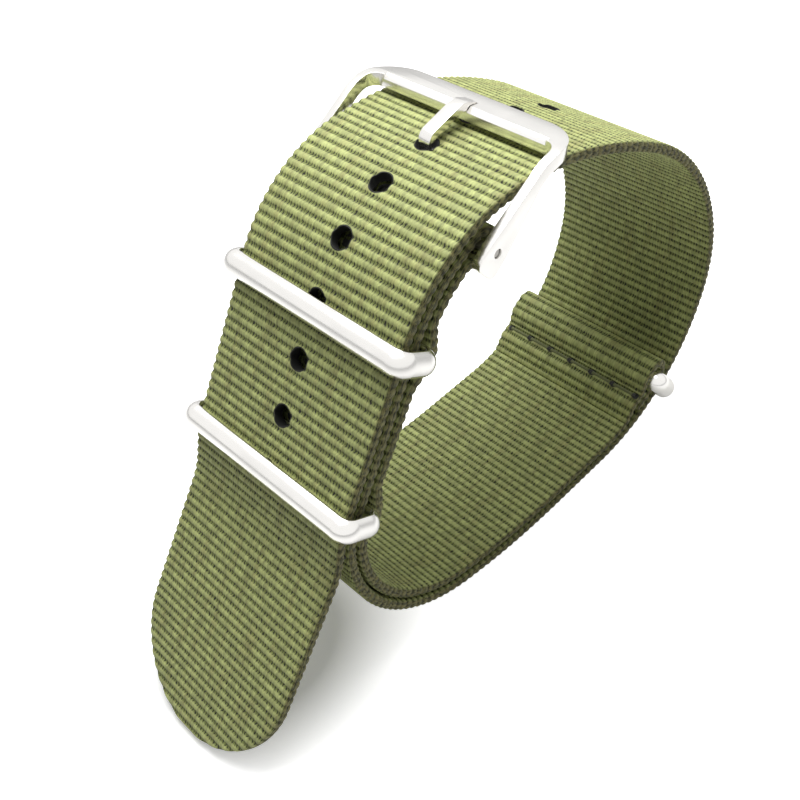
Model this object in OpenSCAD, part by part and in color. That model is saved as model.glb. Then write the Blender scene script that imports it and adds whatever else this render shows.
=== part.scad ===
// Pass-through webbing watch strap, closed as it lies on a table.
// The strap is one long band and one short band of ribbed webbing, three steel rings and a pin buckle.
// X runs across the webbing, the loop lies in the YZ plane, and Z = 0 is the table.

/* [Webbing] */
// Width of the webbing
strap_w = 22; // [18:0.5:24]
// Thickness of one layer of webbing
strap_t = 1.2; // [1:0.05:1.4]
// Gap between two layers that are sewn together
layer_gap = 0.25; // [0.15:0.05:0.35]
// Gap between the tail and the layer below it, along the keepers
tail_gap = 0.5; // [0.4:0.05:0.8]
// Gap between the tail and the fold that it crosses at the buckle
fold_gap = 0.2; // [0.15:0.05:0.3]
// Length of the rounded end of the tail
tip_len = 11; // [8:0.5:14]

/* [Loop] */
// Length of the flat stretch that rests on the table
rest_len = 8.5; // [5:0.5:12]
// Radius of the shallow bend in front of the resting stretch
rest_r = 78; // [60:1:95]
// Radius of the low bend at the front
low_r = 18; // [16:0.5:22]
// Radius of the tight bend under the lower keeper
keeper_bend_r = 11.5; // [10:0.5:13]
// Radius of the bend from the rest up to the back
heel_r = 20; // [18:0.5:23]
// Straight rise between the heel bend and the back bend
back_rise = 0.5; // [0.5:0.5:4]
// Radius of the back bend
back_r = 18; // [16:0.5:20]
// Radius of the upper back bend
upper_r = 29; // [26:0.5:32]
// Radius of the long slope down to the upper back
slope_r = 58; // [50:1:70]
// Radius of the crown of the loop
crown_r = 24; // [22:0.5:27]
// Level run between the crown and the bend over the buckle pin
crown_run = 2; // [0.5:0.5:3]
// Radius of the bend over the buckle pin
shoulder_r = 16.5; // [15:0.5:19]

/* [Holes] */
// Diameter of the punched holes
hole_d = 2.2; // [1.8:0.1:2.6]
// Distance between two holes
hole_pitch = 5.9; // [5:0.1:7]
// Number of holes
hole_count = 10; // [7:1:12]
// Distance from the tip to the first hole
hole_first = 32.5; // [30:0.5:35]
// The hole that the tongue is in, counted from the tip
tongue_hole = 7; // [6:1:7]

/* [Rings] */
// Width of the half round wire of the rings
ring_w = 2.7; // [2.3:0.1:3]
// Thickness of the half round wire of the rings
ring_t = 1.2; // [1.1:0.05:1.4]
// Radius of the rings' inner corners
ring_corner = 0.7; // [0.5:0.1:0.8]
// Gap between a ring and the webbing that it holds
ring_clear = 0.25; // [0.2:0.05:0.35]
// Gap between the webbing's edge and the steel beside it
side_clear = 0.4; // [0.3:0.05:0.5]
// Distance of the upper keeper from the buckle pin, along the strap
keeper_1 = 11.8; // [11:0.1:12.5]
// Distance from the upper keeper to the lower keeper
keeper_step = 16.6; // [15:0.2:18]
// Length of the end fold, from its seam to the ring's bar
end_fold = 3.6; // [3.3:0.1:5]
// Place of the end ring, as the strap's heading there
end_heading = 36; // [30:1:40]

/* [Buckle] */
// Distance from the buckle's pin to the middle of its front bar
buckle_len = 11.5; // [10.8:0.1:12.2]
// Width of the front bar, seen from above
bar_w = 3.2; // [2.8:0.1:3.5]
// Thickness of the buckle's bar and arms
bar_t = 1.3; // [1.2:0.1:1.6]
// Width of the side arms at the pin, seen from the side
arm_h = 3; // [2.6:0.1:3.4]
// Distance from the pin to the end of the side arms
arm_end = 2.2; // [2:0.1:2.5]
// Thickness of the side arms
arm_t = 0.9; // [0.8:0.1:1.2]
// Radius of the buckle's outer corners
buckle_corner = 4.4; // [3:0.1:5]
// Width of the bevel on the front bar's inner edge
bevel = 0.5; // [0.3:0.1:0.6]
// Width of the tongue's bar
tongue_w = 1; // [0.9:0.1:1.2]
// Thickness of the tongue's bar
tongue_t = 0.8; // [0.7:0.05:0.9]
// Width of the tongue's flattened tip
tip_w = 1.5; // [1.3:0.1:1.8]
// Distance from the pin to the tongue's hole, along the strap
tongue_reach = 5.3; // [5:0.1:5.8]

/* [Pin] */
// Outer diameter of the pin's tube
tube_d = 1.5; // [1.4:0.05:1.6]
// Inner diameter of the pin's tube
tube_bore = 1; // [0.9:0.05:1.1]
// Diameter of the end that stands in the side arm
nose_d = 0.8; // [0.7:0.05:0.9]
// Travel of each end into the tube
tip_travel = 1.1; // [1:0.05:1.2]
// Running clearance of the pin's parts, on the radius
pin_clear = 0.05; // [0.03:0.01:0.08]

/* [Seams] */
// Diameter of the sewing thread
thread_d = 0.4; // [0.35:0.05:0.45]
// Length of one stitch
stitch = 2.6; // [2:0.1:3]
// Distance from the webbing's edge to the first stitch
seam_margin = 1.4; // [1:0.1:2]

/* [Hidden] */
$fn = 48;
// Turn of one flat facet on a bend of webbing
arc_step = 6;
// Overlap of solids that are joined
eps = 0.01;
// Distance by which a cutting solid reaches past what it cuts
cut = 1;

// A route is a list of bends [y, z, signed radius, heading in, heading out].
// Headings are in degrees in the YZ plane. A positive radius turns left, towards the wrist.
function ahead(h) = [cos(h), sin(h)];
function side(h) = [sin(h), -cos(h)];
function centre(b) = [b[0], b[1]];
function bend(c, r, h_in, h_out) = [c[0], c[1], r, h_in, h_out];
function on_bend(b, h, e = 0) = centre(b) + (b[2] - e) * side(h);
function start_of(b) = on_bend(b, b[3]);
function end_of(b) = on_bend(b, b[4]);

// The bend after b: straight run s, then radius r up to heading h.
function after(b, s, r, h) =
    bend(centre(b) + (b[2] - r) * side(b[4]) + s * ahead(b[4]), r, b[4], h);
// The bend before b: radius r from heading h, then straight run s into b.
function before(b, s, r, h) =
    bend(centre(b) + (b[2] - r) * side(b[3]) - s * ahead(b[3]), r, h, b[3]);
// The same bend on a layer that lies e nearer to the wrist.
function inside(b, e) = bend(centre(b), b[2] - e, b[3], b[4]);
// Bend b with other headings.
function turned(b, h_in, h_out) = bend(centre(b), b[2], h_in, h_out);
// A route's end point, which has no turn.
function stop_at(p, h) = bend(p, 0, h, h);
// Heading h, moved by whole turns next to heading ref.
function unwrap(h, ref) = h + 360 * round((ref - h) / 360);
// Heading of the straight run from bend a to bend b.
function tangent(a, b, ref) =
    let (d = centre(b) - centre(a))
    unwrap(atan2(d[1], d[0]) + asin((a[2] - b[2]) / norm(d)), ref);
// Heading of the straight run from point p to point q.
function heading(p, q) = atan2(q[1] - p[1], q[0] - p[0]);
// A rounded corner at p between the headings of its two runs
function corner(o, p, q, r) =
    let (
        h0 = heading(o, p),
        h1 = unwrap(heading(p, q), h0),
        s = sign(h1 - h0)
    )
    bend(p - s * r / cos((h1 - h0) / 2) * side((h0 + h1) / 2), s * r, h0, h1);
// Turn in degrees that an arc of length s makes on radius r.
function turn_of(s, r) = s / r * 180 / PI;

function arc_points(b, e) =
    let (turn = b[4] - b[3], n = ceil(abs(turn) / arc_step))
    n == 0 ? [on_bend(b, b[3], e)] : [for (i = [0:n]) on_bend(b, b[3] + turn * i / n, e)];
function trace(route, e) = [for (b = route) each arc_points(b, e)];
function reversed(list) = [for (i = [len(list) - 1:-1:0]) list[i]];

// Outline of a band of thickness t that follows a route
function outline(route, t) = concat(trace(route, -t / 2), reversed(trace(route, t / 2)));

function arc_len(b) = abs(b[2] * (b[4] - b[3])) * PI / 180;
function leg_len(a, b) = norm(start_of(b) - end_of(a));
function run_len(route, i = 1) =
    i >= len(route) ? 0
    : leg_len(route[i - 1], route[i]) + arc_len(route[i]) + run_len(route, i + 1);
// [point, heading] at distance s along a route, from the end of its first bend.
function at(route, s, i = 0) =
    i >= len(route) - 1 ? [end_of(route[i]), route[i][4]]
    : let (a = route[i], b = route[i + 1], leg = leg_len(a, b), arc = arc_len(b))
        s <= leg ? [end_of(a) + s * ahead(a[4]), a[4]]
        : s <= leg + arc
            ? let (h = b[3] + sign(b[4] - b[3]) * (s - leg) / abs(b[2]) * 180 / PI) [on_bend(b, h), h]
            : at(route, s - leg - arc, i + 1);
// The station st, moved e towards the wrist.
function shifted(st, e) = [st[0] - e * side(st[1]), st[1]];

// Headings at which one bend of the long band passes into the next
h_low = 269;
h_keeper = h_low - 40;
h_rest = 348;
h_heel = 360 + 68;
h_back = 360 + 104;
h_upper = 360 + 148;
h_slope = 360 + 161;
h_crown = 360 + 180;
// Turn of the tail round the lower keeper, and the straight and radius with which it flares out
flare_turn = 14;
flare_run = 2;
flare_r = 10;

// The long band's route on its middle layer line, from the resting stretch
rest_bend = bend([0, strap_t / 2 + rest_r], rest_r, h_rest, 360);
low_bend = before(rest_bend, 0, low_r, h_low);
keeper_bend = before(low_bend, 0, keeper_bend_r, h_keeper);
heel_bend = after(rest_bend, rest_len, heel_r, h_heel);
back_bend = after(heel_bend, back_rise, back_r, h_back);
upper_bend = after(back_bend, 0, upper_r, h_upper);
slope_bend = after(upper_bend, 0, slope_r, h_slope);
crown_bend = after(slope_bend, 0, crown_r, h_crown);
// Distance between the tail's middle line and the front layer's middle line
tail_pitch = strap_t + tail_gap;
tail_keeper = bend(centre(keeper_bend), keeper_bend_r + tail_pitch, 0, 0);
shoulder_open = after(crown_bend, crown_run, shoulder_r, h_crown);
h_leg = tangent(shoulder_open, tail_keeper, h_crown + 54);
shoulder_bend = turned(shoulder_open, h_crown, h_leg);
tail_bend = turned(tail_keeper, h_leg, h_leg + flare_turn);

// Buckle pin, inside the fold under the tail
fold_r = tube_d / 2 + pin_clear + strap_t / 2;
pin_depth = strap_t + fold_gap + fold_r;
h_pin = h_crown + 14.9;
pin = on_bend(shoulder_bend, h_pin, pin_depth);

// Front layer: round the pin, then parallel to the tail
fold_open = bend(pin, fold_r, 0, 0);
front_shoulder = inside(shoulder_bend, tail_pitch);
h_fold = tangent(fold_open, front_shoulder, 222);
h_front = h_leg - 360;
front_bend = turned(front_shoulder, h_fold, h_front);
front_keeper = turned(keeper_bend, h_front, h_low);
// The sewn layer's middle line lies this far towards the wrist from the long band's
sewn = strap_t + layer_gap;
front_run = [turned(fold_open, h_fold, h_fold), front_bend, front_keeper, low_bend, rest_bend, heel_bend];
// Distance from the fold to its seam, half of the flat stretch at that seam, and the gap that
// follows before the short band
seam_fold_s = 3.9;
fold_half = 1.1;
butt_gap = 0.4;
hold_r = 1;
seam_fold_st = at(front_run, seam_fold_s);
fold_seam = shifted(seam_fold_st, sewn)[0];
h_fold_seam = seam_fold_st[1] - 180;
fold_hold = bend(fold_seam + fold_half * ahead(h_fold_seam) + hold_r * side(h_fold_seam), -hold_r,
    h_fold_seam, h_fold_seam);
h_fold_back = tangent(fold_hold, fold_open, h_fold_seam);
fold_bend = turned(fold_open, h_fold_back, h_fold);
fold_start = stop_at(fold_seam - fold_half * ahead(h_fold_seam), h_fold_seam);

// Tail end: straight, and it flares out as far as lets the tip touch the table
loop = [fold_bend, front_bend, front_keeper, low_bend, rest_bend, heel_bend, back_bend, upper_bend,
    slope_bend, crown_bend, shoulder_bend, tail_bend];
pin_s = run_len([fold_bend, front_bend, front_keeper, low_bend, rest_bend, heel_bend, back_bend,
    upper_bend, slope_bend, crown_bend, turned(shoulder_bend, h_crown, h_pin)]);
tongue_s = pin_s - tongue_reach;
tail_after_tongue = hole_first + (tongue_hole - 1) * hole_pitch;
tail_left = tail_after_tongue - (run_len(loop) - tongue_s) - flare_run;
tip_clear = 0.03;
function flare_at(h) = after(tail_bend, flare_run, -flare_r, h);
function tip_of(h) = let (f = flare_at(h)) end_of(f) + (tail_left - arc_len(f)) * ahead(h);
function low_of(h) = tip_of(h)[1] - strap_t / 2 * abs(cos(h));
function flare_for(lo, hi, n = 0) =
    let (mid = (lo + hi) / 2)
    n > 24 ? mid : low_of(mid) > tip_clear ? flare_for(mid, hi, n + 1) : flare_for(lo, mid, n + 1);
h_flare = flare_for(360 + 200, tail_bend[4]);
flare_bend = flare_at(h_flare);
tip = tip_of(h_flare);
main_run = concat(loop, [flare_bend, stop_at(tip, h_flare)]);
main_route = concat([fold_start, turned(fold_hold, h_fold_seam, h_fold_back)], main_run);
// From the fold's exit to the tip
main_len = run_len(main_run);

// The strap's middle from front to back, which the model is centred on
front_y = tip[0] - strap_t / 2 * abs(sin(h_flare));
back_y = back_bend[0] + back_r + strap_t / 2;
mid_y = (front_y + back_y) / 2;

// Middle of a ring's captive bar from the long band's middle line, and the round of its wire
bar_depth = strap_t / 2 + ring_clear + ring_t / 2;
wire_r = (ring_w * ring_w / 4 + ring_t * ring_t) / (2 * ring_t);
wire_centre = wire_r - ring_t / 2;
// Radius of the wire's two inner edges
wire_edge_r = 0.25;
// Free play of a captive bar in its pocket
pocket_clear = 0.15;
pocket_r = wire_r + pocket_clear + strap_t / 2;
// Half of a pocket, from the ring to the bend where the layers meet, and to its seam
pocket_half = 3.6;
seam_half = 4.3;
keeper_2 = keeper_1 + keeper_step;

function hold_at(s) = let (st = shifted(at(front_run, s), sewn + hold_r)) bend(st[0], hold_r, st[1], st[1]);
function bulge_at(s) =
    let (st = shifted(at(front_run, s), bar_depth - wire_centre)) bend(st[0], -pocket_r, st[1], st[1]);
// The four bends of the short band round a keeper's captive bar at station s
function pocket(s) =
    let (
        a = hold_at(s - pocket_half),
        b = bulge_at(s),
        c = hold_at(s + pocket_half),
        h1 = tangent(a, b, a[3]),
        h2 = tangent(b, c, b[3])
    )
    [turned(a, a[3], h1), turned(b, h1, h2), turned(c, h2, c[3])];

// The short band starts after the fold, in the front bend or on the straight below it
upper_pocket = pocket(keeper_1);
lower_pocket = pocket(keeper_2);
short_start = shifted(at(front_run, seam_fold_s + fold_half + butt_gap), sewn);
start_bend = short_start[1] < h_front
    ? turned(inside(front_bend, sewn), short_start[1], upper_pocket[0][3])
    : stop_at(short_start[0], short_start[1]);
// Between the pockets and below them, as far as the bends reach
h_between = lower_pocket[0][3];
h_below = lower_pocket[2][4];
between = h_between > h_front ? [turned(inside(keeper_bend, sewn), h_front, h_between)] : [];
below = h_below < h_low
    ? [turned(inside(keeper_bend, sewn), h_below, h_low), inside(low_bend, sewn)]
    : [turned(inside(low_bend, sewn), h_below, h_rest)];

// Short band's end: over the end ring's bar, round it, and back between the bar and the long band
bar_round = 1;
top_run = 0.6;
seam_ahead = 0.5;
seam_behind = 1;
step_run = 3;
rise_r = 0.8;
// Depths of the sewn end's upper layer and of the layer over the ring's bar
double_depth = 2 * sewn;
end_bar_depth = sewn + strap_t / 2 + pocket_clear + ring_t / 2;
over_depth = end_bar_depth + ring_t / 2 + pocket_clear + strap_t / 2;
end_loop_r = (over_depth - sewn) / 2;
h_bar = 360 + end_heading;
h_top = h_bar - turn_of(top_run, heel_r);
h_round = h_bar + turn_of(bar_round, heel_r);
h_end_seam = h_bar - turn_of(end_fold, heel_r);
h_fold_end = h_end_seam - turn_of(seam_behind, heel_r);
// Where the band starts to rise to depth e at heading h, and the bend that ends the rise there
function rise_from(h, e) = bend(on_bend(heel_bend, h, e + rise_r), rise_r, h, h);
function rise_to(h, e) = bend(on_bend(heel_bend, h, e - rise_r), -rise_r, h, h);
function rise(h1, e1, h2, e2) =
    let (a = rise_from(h1, e1), b = rise_to(h2, e2), t = tangent(a, b, h1))
    [turned(a, h1, t), turned(b, t, h2)];
h_step = h_fold_end - turn_of(step_run, heel_r);
h_second = h_end_seam + turn_of(seam_ahead, heel_r);
first_rise = rise(h_step, sewn, h_fold_end, double_depth);
second_rise = rise(h_second, double_depth, h_top, over_depth);
end_loop = bend(on_bend(heel_bend, h_round, sewn + end_loop_r), -end_loop_r, h_round, h_round - 180);
end_back = bend(centre(heel_bend), sewn - heel_r, h_round - 180, h_fold_end - 180);
short_route = concat(
    [start_bend], upper_pocket, between, lower_pocket, below,
    [inside(rest_bend, sewn), turned(inside(heel_bend, sewn), 360, h_step)],
    first_rise, [turned(inside(heel_bend, double_depth), h_fold_end, h_second)],
    second_rise, [turned(inside(heel_bend, over_depth), h_top, h_round), end_loop, end_back]
);

// Buckle frame: its front bar lies flat on the crown of the loop, and its arms bend down to the pin
bar_gap = 0.5;
bar_out = strap_t / 2 + bar_gap + bar_t / 2;
bar_orbit = crown_r + bar_out;
pin_from_crown = pin - centre(crown_bend);
bar_angle = atan2(pin_from_crown[1], pin_from_crown[0])
    - acos((pow(bar_orbit, 2) + pow(norm(pin_from_crown), 2) - pow(buckle_len, 2))
        / (2 * bar_orbit * norm(pin_from_crown)));
front_bar = centre(crown_bend) + bar_orbit * [cos(bar_angle), sin(bar_angle)];
bar_heading = bar_angle - 90;
function on_bar(u, v) = front_bar + u * ahead(bar_heading) + v * ahead(bar_heading + 90);
buckle_tilt = heading(pin, front_bar);
// Straight part of the arms beside the front bar, and the radius of the bend that follows it
arm_flat = 3.4;
arm_bend_r = 5;
arm_bend = corner(pin, on_bar(-arm_flat, 0), front_bar, arm_bend_r);
arm_run = norm(start_of(arm_bend) - pin);
arm_end_r = 0.8;
// Length over which the arm's straight part and its bend are one
arm_join = 0.5;
frame_route = [
    stop_at(start_of(arm_bend) - arm_join * ahead(arm_bend[3]), arm_bend[3]),
    arm_bend, stop_at(on_bar(bar_w / 2, 0), bar_heading)
];
inner_half = strap_w / 2 + side_clear;
outer_half = inner_half + arm_t;
// Radius of the frame's inner corners
inner_corner = 1.4;

// Tongue: from its eye under the webbing, up through the hole, and over the front bar
tongue_st = at(main_run, tongue_s);
tongue_gap = 0.3;
tongue_off = strap_t / 2 + tongue_gap + tongue_t / 2;
tongue_below = shifted(tongue_st, tongue_off)[0];
tongue_above = shifted(tongue_st, -tongue_off)[0];
notch_depth = 0.4;
notch_clear = 0.02;
notch_side = 0.08;
tongue_rest = bar_t / 2 - notch_depth + tongue_t / 2 + notch_clear;
crest_back = 0.4;
tip_back = 1.7;
// End of the tongue on the front bar, as a distance from the bar's middle
tongue_end = bar_w / 2 - tip_back;
tongue_crest = on_bar(-bar_w / 2 - crest_back, tongue_rest);
tongue_tip = on_bar(tongue_end, tongue_rest);
root_out = 0.95;
tongue_root = pin + root_out * ahead(buckle_tilt);
tongue_turn_r = 0.9;
// Distance before the bar over which the tongue widens, and its thickness and slope at the tip
tongue_widens = 2.2;
tip_t = 0.5;
tip_slope = 14;
tongue_route = [
    stop_at(tongue_root, heading(tongue_root, tongue_below)),
    corner(tongue_root, tongue_below, tongue_above, tongue_turn_r),
    corner(tongue_below, tongue_above, tongue_crest, tongue_turn_r),
    corner(tongue_above, tongue_crest, tongue_tip, tongue_turn_r * 2),
    stop_at(tongue_tip, heading(tongue_crest, tongue_tip))
];

// Tongue's eye on the pin, and its room in the fold's slot
eye_wall = 0.85;
eye_d = tube_d + 2 * pin_clear + 2 * eye_wall;
slot_clear = 0.08;

// Pin parts along X
flange_t = 0.4;
flange_d = 1.25;
flange_gap = 0.1;
nose_sink = 0.2;
shank_in_tube = 3.4;
flange_out = inner_half - flange_gap;
tube_half = flange_out - flange_t - tip_travel - flange_gap;
nose_out = outer_half - nose_sink;
shank_in = tube_half - shank_in_tube;
shank_d = tube_bore - 2 * pin_clear;
wire_d = 0.18;
coil_clear = 0.02;
coil_d = shank_d - wire_d - coil_clear;
coil_turns = 12;

// The whole strap is drawn from its resting stretch and then centred on Y
module placed() {
    translate([0, -mid_y, 0]) children();
}
module at_station(st, depth = 0) {
    translate([0, st[0][0], st[0][1]]) rotate([st[1], 0, 0]) translate([0, 0, depth]) children();
}
// Along X through the buckle pin
module on_pin() {
    translate([0, pin[0], pin[1]]) rotate([0, 90, 0]) children();
}
// A flat layer that follows a route, across the width w
module layer(route, w) {
    rotate([90, 0, 90]) linear_extrude(w, center = true) polygon(outline(route, strap_t));
}

// Half round wire section: X is the way out of the ring, Y is along the strap
module wire_section() {
    r = wire_edge_r;
    y = sqrt(pow(wire_r, 2) - pow(wire_centre - ring_t / 2 + r, 2)) - r;
    intersection() {
        translate([-wire_centre, 0]) circle(wire_r);
        translate([r, 0]) square([ring_t, ring_w], center = true);
    }
    translate([-ring_t / 2, -y]) square([r + eps, 2 * y]);
    for (m = [-1, 1])
        translate([-ring_t / 2 + r, m * y]) circle(r);
}
// A ring with its captive bar at the origin and its outer bar at -Z
module ring(opening) {
    half_w = strap_w / 2 + side_clear;
    x = half_w - ring_corner;
    top = -ring_t / 2 - ring_corner;
    low = -ring_t / 2 - opening + ring_corner;
    path_r = ring_corner + ring_t / 2;
    rotate([90, 0, 0]) {
        for (c = [[x, top, 0], [-x, top, 90], [-x, low, 180], [x, low, 270]])
            translate([c[0], c[1], 0]) rotate([0, 0, c[2]])
                rotate_extrude(angle = 90) translate([path_r, 0]) wire_section();
        rotate([90, 0, 90]) linear_extrude(2 * x, center = true) wire_section();
        translate([0, -opening - ring_t, 0]) rotate([90, 0, -90])
            linear_extrude(2 * x, center = true) wire_section();
        for (m = [0, 180])
            translate([0, (top + low) / 2, 0]) rotate([0, 0, m]) translate([half_w + ring_t / 2, 0, 0])
                rotate([90, 0, 0]) linear_extrude(top - low, center = true) wire_section();
    }
}

// Clearance of the thread in its needle holes, and over the webbing's face
needle_clear = 0.03;
thread_lift = 0.02;
// Sides of a thin round thread or needle hole
round_sides = 16;
// Stitch places across the strap
function stitch_x() =
    let (n = floor((strap_w - 2 * seam_margin) / stitch))
    [for (i = [0:n]) (i - n / 2) * stitch];
// Needle holes of a seam, through the layers between two depths
module needle_holes(st, low, high) {
    at_station(st) for (x = stitch_x())
        translate([x, 0, low - cut])
            cylinder(d = thread_d + 2 * needle_clear, h = high - low + 2 * cut, $fn = round_sides);
}
// A lock stitch seam: a thread on each face, and legs through the needle holes
module seam(st, low, high) {
    xs = stitch_x();
    run = xs[len(xs) - 1] - xs[0] + thread_d;
    at_station(st) {
        for (x = xs)
            translate([x, 0, low - thread_d / 4])
                cylinder(d = thread_d, h = high - low + thread_d / 2, $fn = round_sides);
        for (z = [[low, -1], [high, 1]])
            intersection() {
                translate([0, 0, z[0]]) rotate([0, 90, 0])
                    cylinder(d = thread_d, h = run, center = true, $fn = round_sides);
                translate([0, 0, z[0] + z[1] * (thread_d / 2 + thread_lift)])
                    cube([run + cut, 2 * thread_d, thread_d], center = true);
            }
    }
}
// Seam stations, and the depths of the faces that each thread lies on
face_low = -strap_t / 2;
face_high = sewn + strap_t / 2;
seam_start_st = at(front_run, keeper_1 - seam_half);
seam_upper_st = at(front_run, keeper_1 + seam_half);
seam_top_st = at(front_run, keeper_2 - seam_half);
seam_end_st = at(front_run, keeper_2 + seam_half);
end_seam_st = [on_bend(heel_bend, h_end_seam), h_end_seam];
end_face_low = sewn - strap_t / 2;
end_face_high = double_depth + strap_t / 2;

// Rounded end of the tail: an ellipse as wide as the strap
module tip_shape() {
    half = strap_w / 2;
    at_station([tip, h_flare]) difference() {
        translate([0, cut - tip_len / 2, 0])
            cube([strap_w + 2 * cut, tip_len + 2 * cut, strap_w], center = true);
        linear_extrude(strap_w + 2 * cut, center = true)
            polygon(concat(
                [[-half, -tip_len - cut], [half, -tip_len - cut]],
                [for (a = [0:arc_step:180]) [half * cos(a), -tip_len + tip_len * sin(a)]]
            ));
    }
}

// Room between the fold's slot and the tongue's eye
slot_room = 0.5;
// Shoulder of the eye on each side of the tongue's bar
eye_shoulder = 0.4;
eye_w = tongue_w + 2 * eye_shoulder;
module main_strap() {
    color("olivedrab") placed() difference() {
        layer(main_route, strap_w);
        for (i = [0:hole_count - 1])
            at_station(at(main_run, main_len - hole_first - i * hole_pitch))
                cylinder(d = hole_d, h = strap_t * 2, center = true);
        // Slot in the fold for the tongue's eye
        on_pin() cylinder(r = fold_r + strap_t / 2 + slot_clear, h = eye_w + 2 * slot_room, center = true);
        for (st = [seam_start_st, seam_upper_st, seam_top_st, seam_end_st, seam_fold_st])
            needle_holes(st, face_low, face_high);
        tip_shape();
    }
}

module short_strap() {
    color("darkolivegreen") placed() difference() {
        layer(short_route, strap_w);
        for (st = [seam_start_st, seam_upper_st, seam_top_st, seam_end_st])
            needle_holes(st, face_low, face_high);
        needle_holes(end_seam_st, end_face_low, end_face_high);
    }
}

module seam_buckle_fold() { color("yellowgreen") placed() seam(seam_fold_st, face_low, face_high); }
module seam_short_start() { color("yellowgreen") placed() seam(seam_start_st, face_low, face_high); }
module seam_upper_pocket() { color("yellowgreen") placed() seam(seam_upper_st, face_low, face_high); }
module seam_lower_pocket_top() { color("yellowgreen") placed() seam(seam_top_st, face_low, face_high); }
module seam_lower_pocket_end() { color("yellowgreen") placed() seam(seam_end_st, face_low, face_high); }
module seam_end_fold() { color("yellowgreen") placed() seam(end_seam_st, end_face_low, end_face_high); }

// All three rings are alike: each holds two layers with play
ring_opening = 2 * ring_clear + 2 * strap_t + tail_gap;
module keeper_ring_upper() {
    color("silver") placed() at_station(at(front_run, keeper_1), bar_depth) ring(ring_opening);
}
module keeper_ring_lower() {
    color("silver") placed() at_station(at(front_run, keeper_2), bar_depth) ring(ring_opening);
}
module end_ring() {
    color("silver") placed()
        at_station([on_bend(heel_bend, h_bar), h_bar], end_bar_depth) ring(ring_opening);
}

// One side arm seen from the side: along +X from the pin, and narrower towards the front bar
module arm_side() {
    half = arm_h / 2;
    back = arm_end_r - arm_end;
    polygon([
        [back, -half], [0, -half], [arm_run, -bar_t / 2], [arm_run, bar_t / 2],
        [0, half], [back, half], [-arm_end, half - arm_end_r], [-arm_end, arm_end_r - half]
    ]);
    for (m = [-1, 1])
        translate([back, m * (half - arm_end_r)]) circle(arm_end_r);
}

module buckle_frame() {
    reach = buckle_len + arm_end + arm_h;
    edge = bar_w / 2;
    notch_w = tip_w + 2 * notch_side;
    notch_len = 2 * bar_w;
    color("gainsboro") placed() difference() {
        intersection() {
            // Side profile: arm, bend, flat front bar
            rotate([90, 0, 90]) linear_extrude(2 * (outer_half + cut), center = true) {
                polygon(outline(frame_route, bar_t));
                translate(pin) rotate(arm_bend[3]) arm_side();
            }
            // Plan, in the plane of the front bar: a frame that is open towards the pin
            translate([0, front_bar[0], front_bar[1]]) rotate([bar_heading, 0, 0])
                linear_extrude(2 * (reach + cut), center = true) difference() {
                    union() {
                        translate([-outer_half, -reach])
                            square([2 * outer_half, reach + edge - buckle_corner]);
                        translate([-outer_half + buckle_corner, -reach])
                            square([2 * (outer_half - buckle_corner), reach + edge]);
                        for (m = [-1, 1])
                            translate([m * (outer_half - buckle_corner), edge - buckle_corner])
                                circle(buckle_corner);
                    }
                    translate([-inner_half, -reach - cut])
                        square([2 * inner_half, reach + cut - edge - inner_corner]);
                    translate([-inner_half + inner_corner, -reach - cut])
                        square([2 * (inner_half - inner_corner), reach + cut - edge]);
                    for (m = [-1, 1])
                        translate([m * (inner_half - inner_corner), -edge - inner_corner])
                            circle(inner_corner);
                }
        }
        // Holes for the pin's ends
        on_pin() cylinder(d = nose_d + 2 * pin_clear, h = 2 * (outer_half + cut), center = true);
        translate([0, front_bar[0], front_bar[1]]) rotate([bar_heading, 0, 0]) {
            // Bevel on the front bar's inner edge
            translate([0, -bar_w / 2, bar_t / 2]) rotate([45, 0, 0])
                cube([2 * (inner_half - inner_corner), bevel * sqrt(2), bevel * sqrt(2)], center = true);
            // Notch for the tongue's tip, open towards the pin
            translate([0, tongue_end + notch_side - notch_len / 2, bar_t / 2])
                cube([notch_w, notch_len, 2 * notch_depth], center = true);
        }
    }
}

// The tongue's bar: its side profile, cut by a plan that widens from the hole to the flattened tip
module tongue_bar() {
    half = tongue_w / 2;
    wide = tip_w / 2;
    from = -bar_w / 2 - tongue_widens;
    intersection() {
        rotate([90, 0, 90]) linear_extrude(2 * tip_w, center = true)
            polygon(outline(tongue_route, tongue_t));
        translate([0, front_bar[0], front_bar[1]]) rotate([bar_heading, 0, 0])
            linear_extrude(2 * buckle_len, center = true) {
                polygon([
                    [-half, -2 * buckle_len], [half, -2 * buckle_len], [half, from],
                    [wide, -bar_w / 2], [wide, tongue_end - wide],
                    [-wide, tongue_end - wide], [-wide, -bar_w / 2], [-half, from]
                ]);
                translate([0, tongue_end - wide]) circle(wide);
            }
        // Bevel that thins the tip from above
        translate([0, tongue_tip[0], tongue_tip[1]]) rotate([bar_heading - tip_slope, 0, 0])
            translate([0, 0, tip_t - tongue_t / 2 - buckle_len]) cube(2 * buckle_len, center = true);
    }
}

module buckle_tongue() {
    color("silver") placed() difference() {
        union() {
            on_pin() cylinder(d = eye_d, h = eye_w, center = true);
            tongue_bar();
        }
        on_pin() cylinder(d = tube_d + 2 * pin_clear, h = 2 * eye_w, center = true);
    }
}

module spring_bar_tube() {
    color("lightgray") placed() on_pin() difference() {
        cylinder(d = tube_d, h = 2 * tube_half, center = true);
        cylinder(d = tube_bore, h = 2 * (tube_half + cut), center = true);
    }
}
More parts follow.
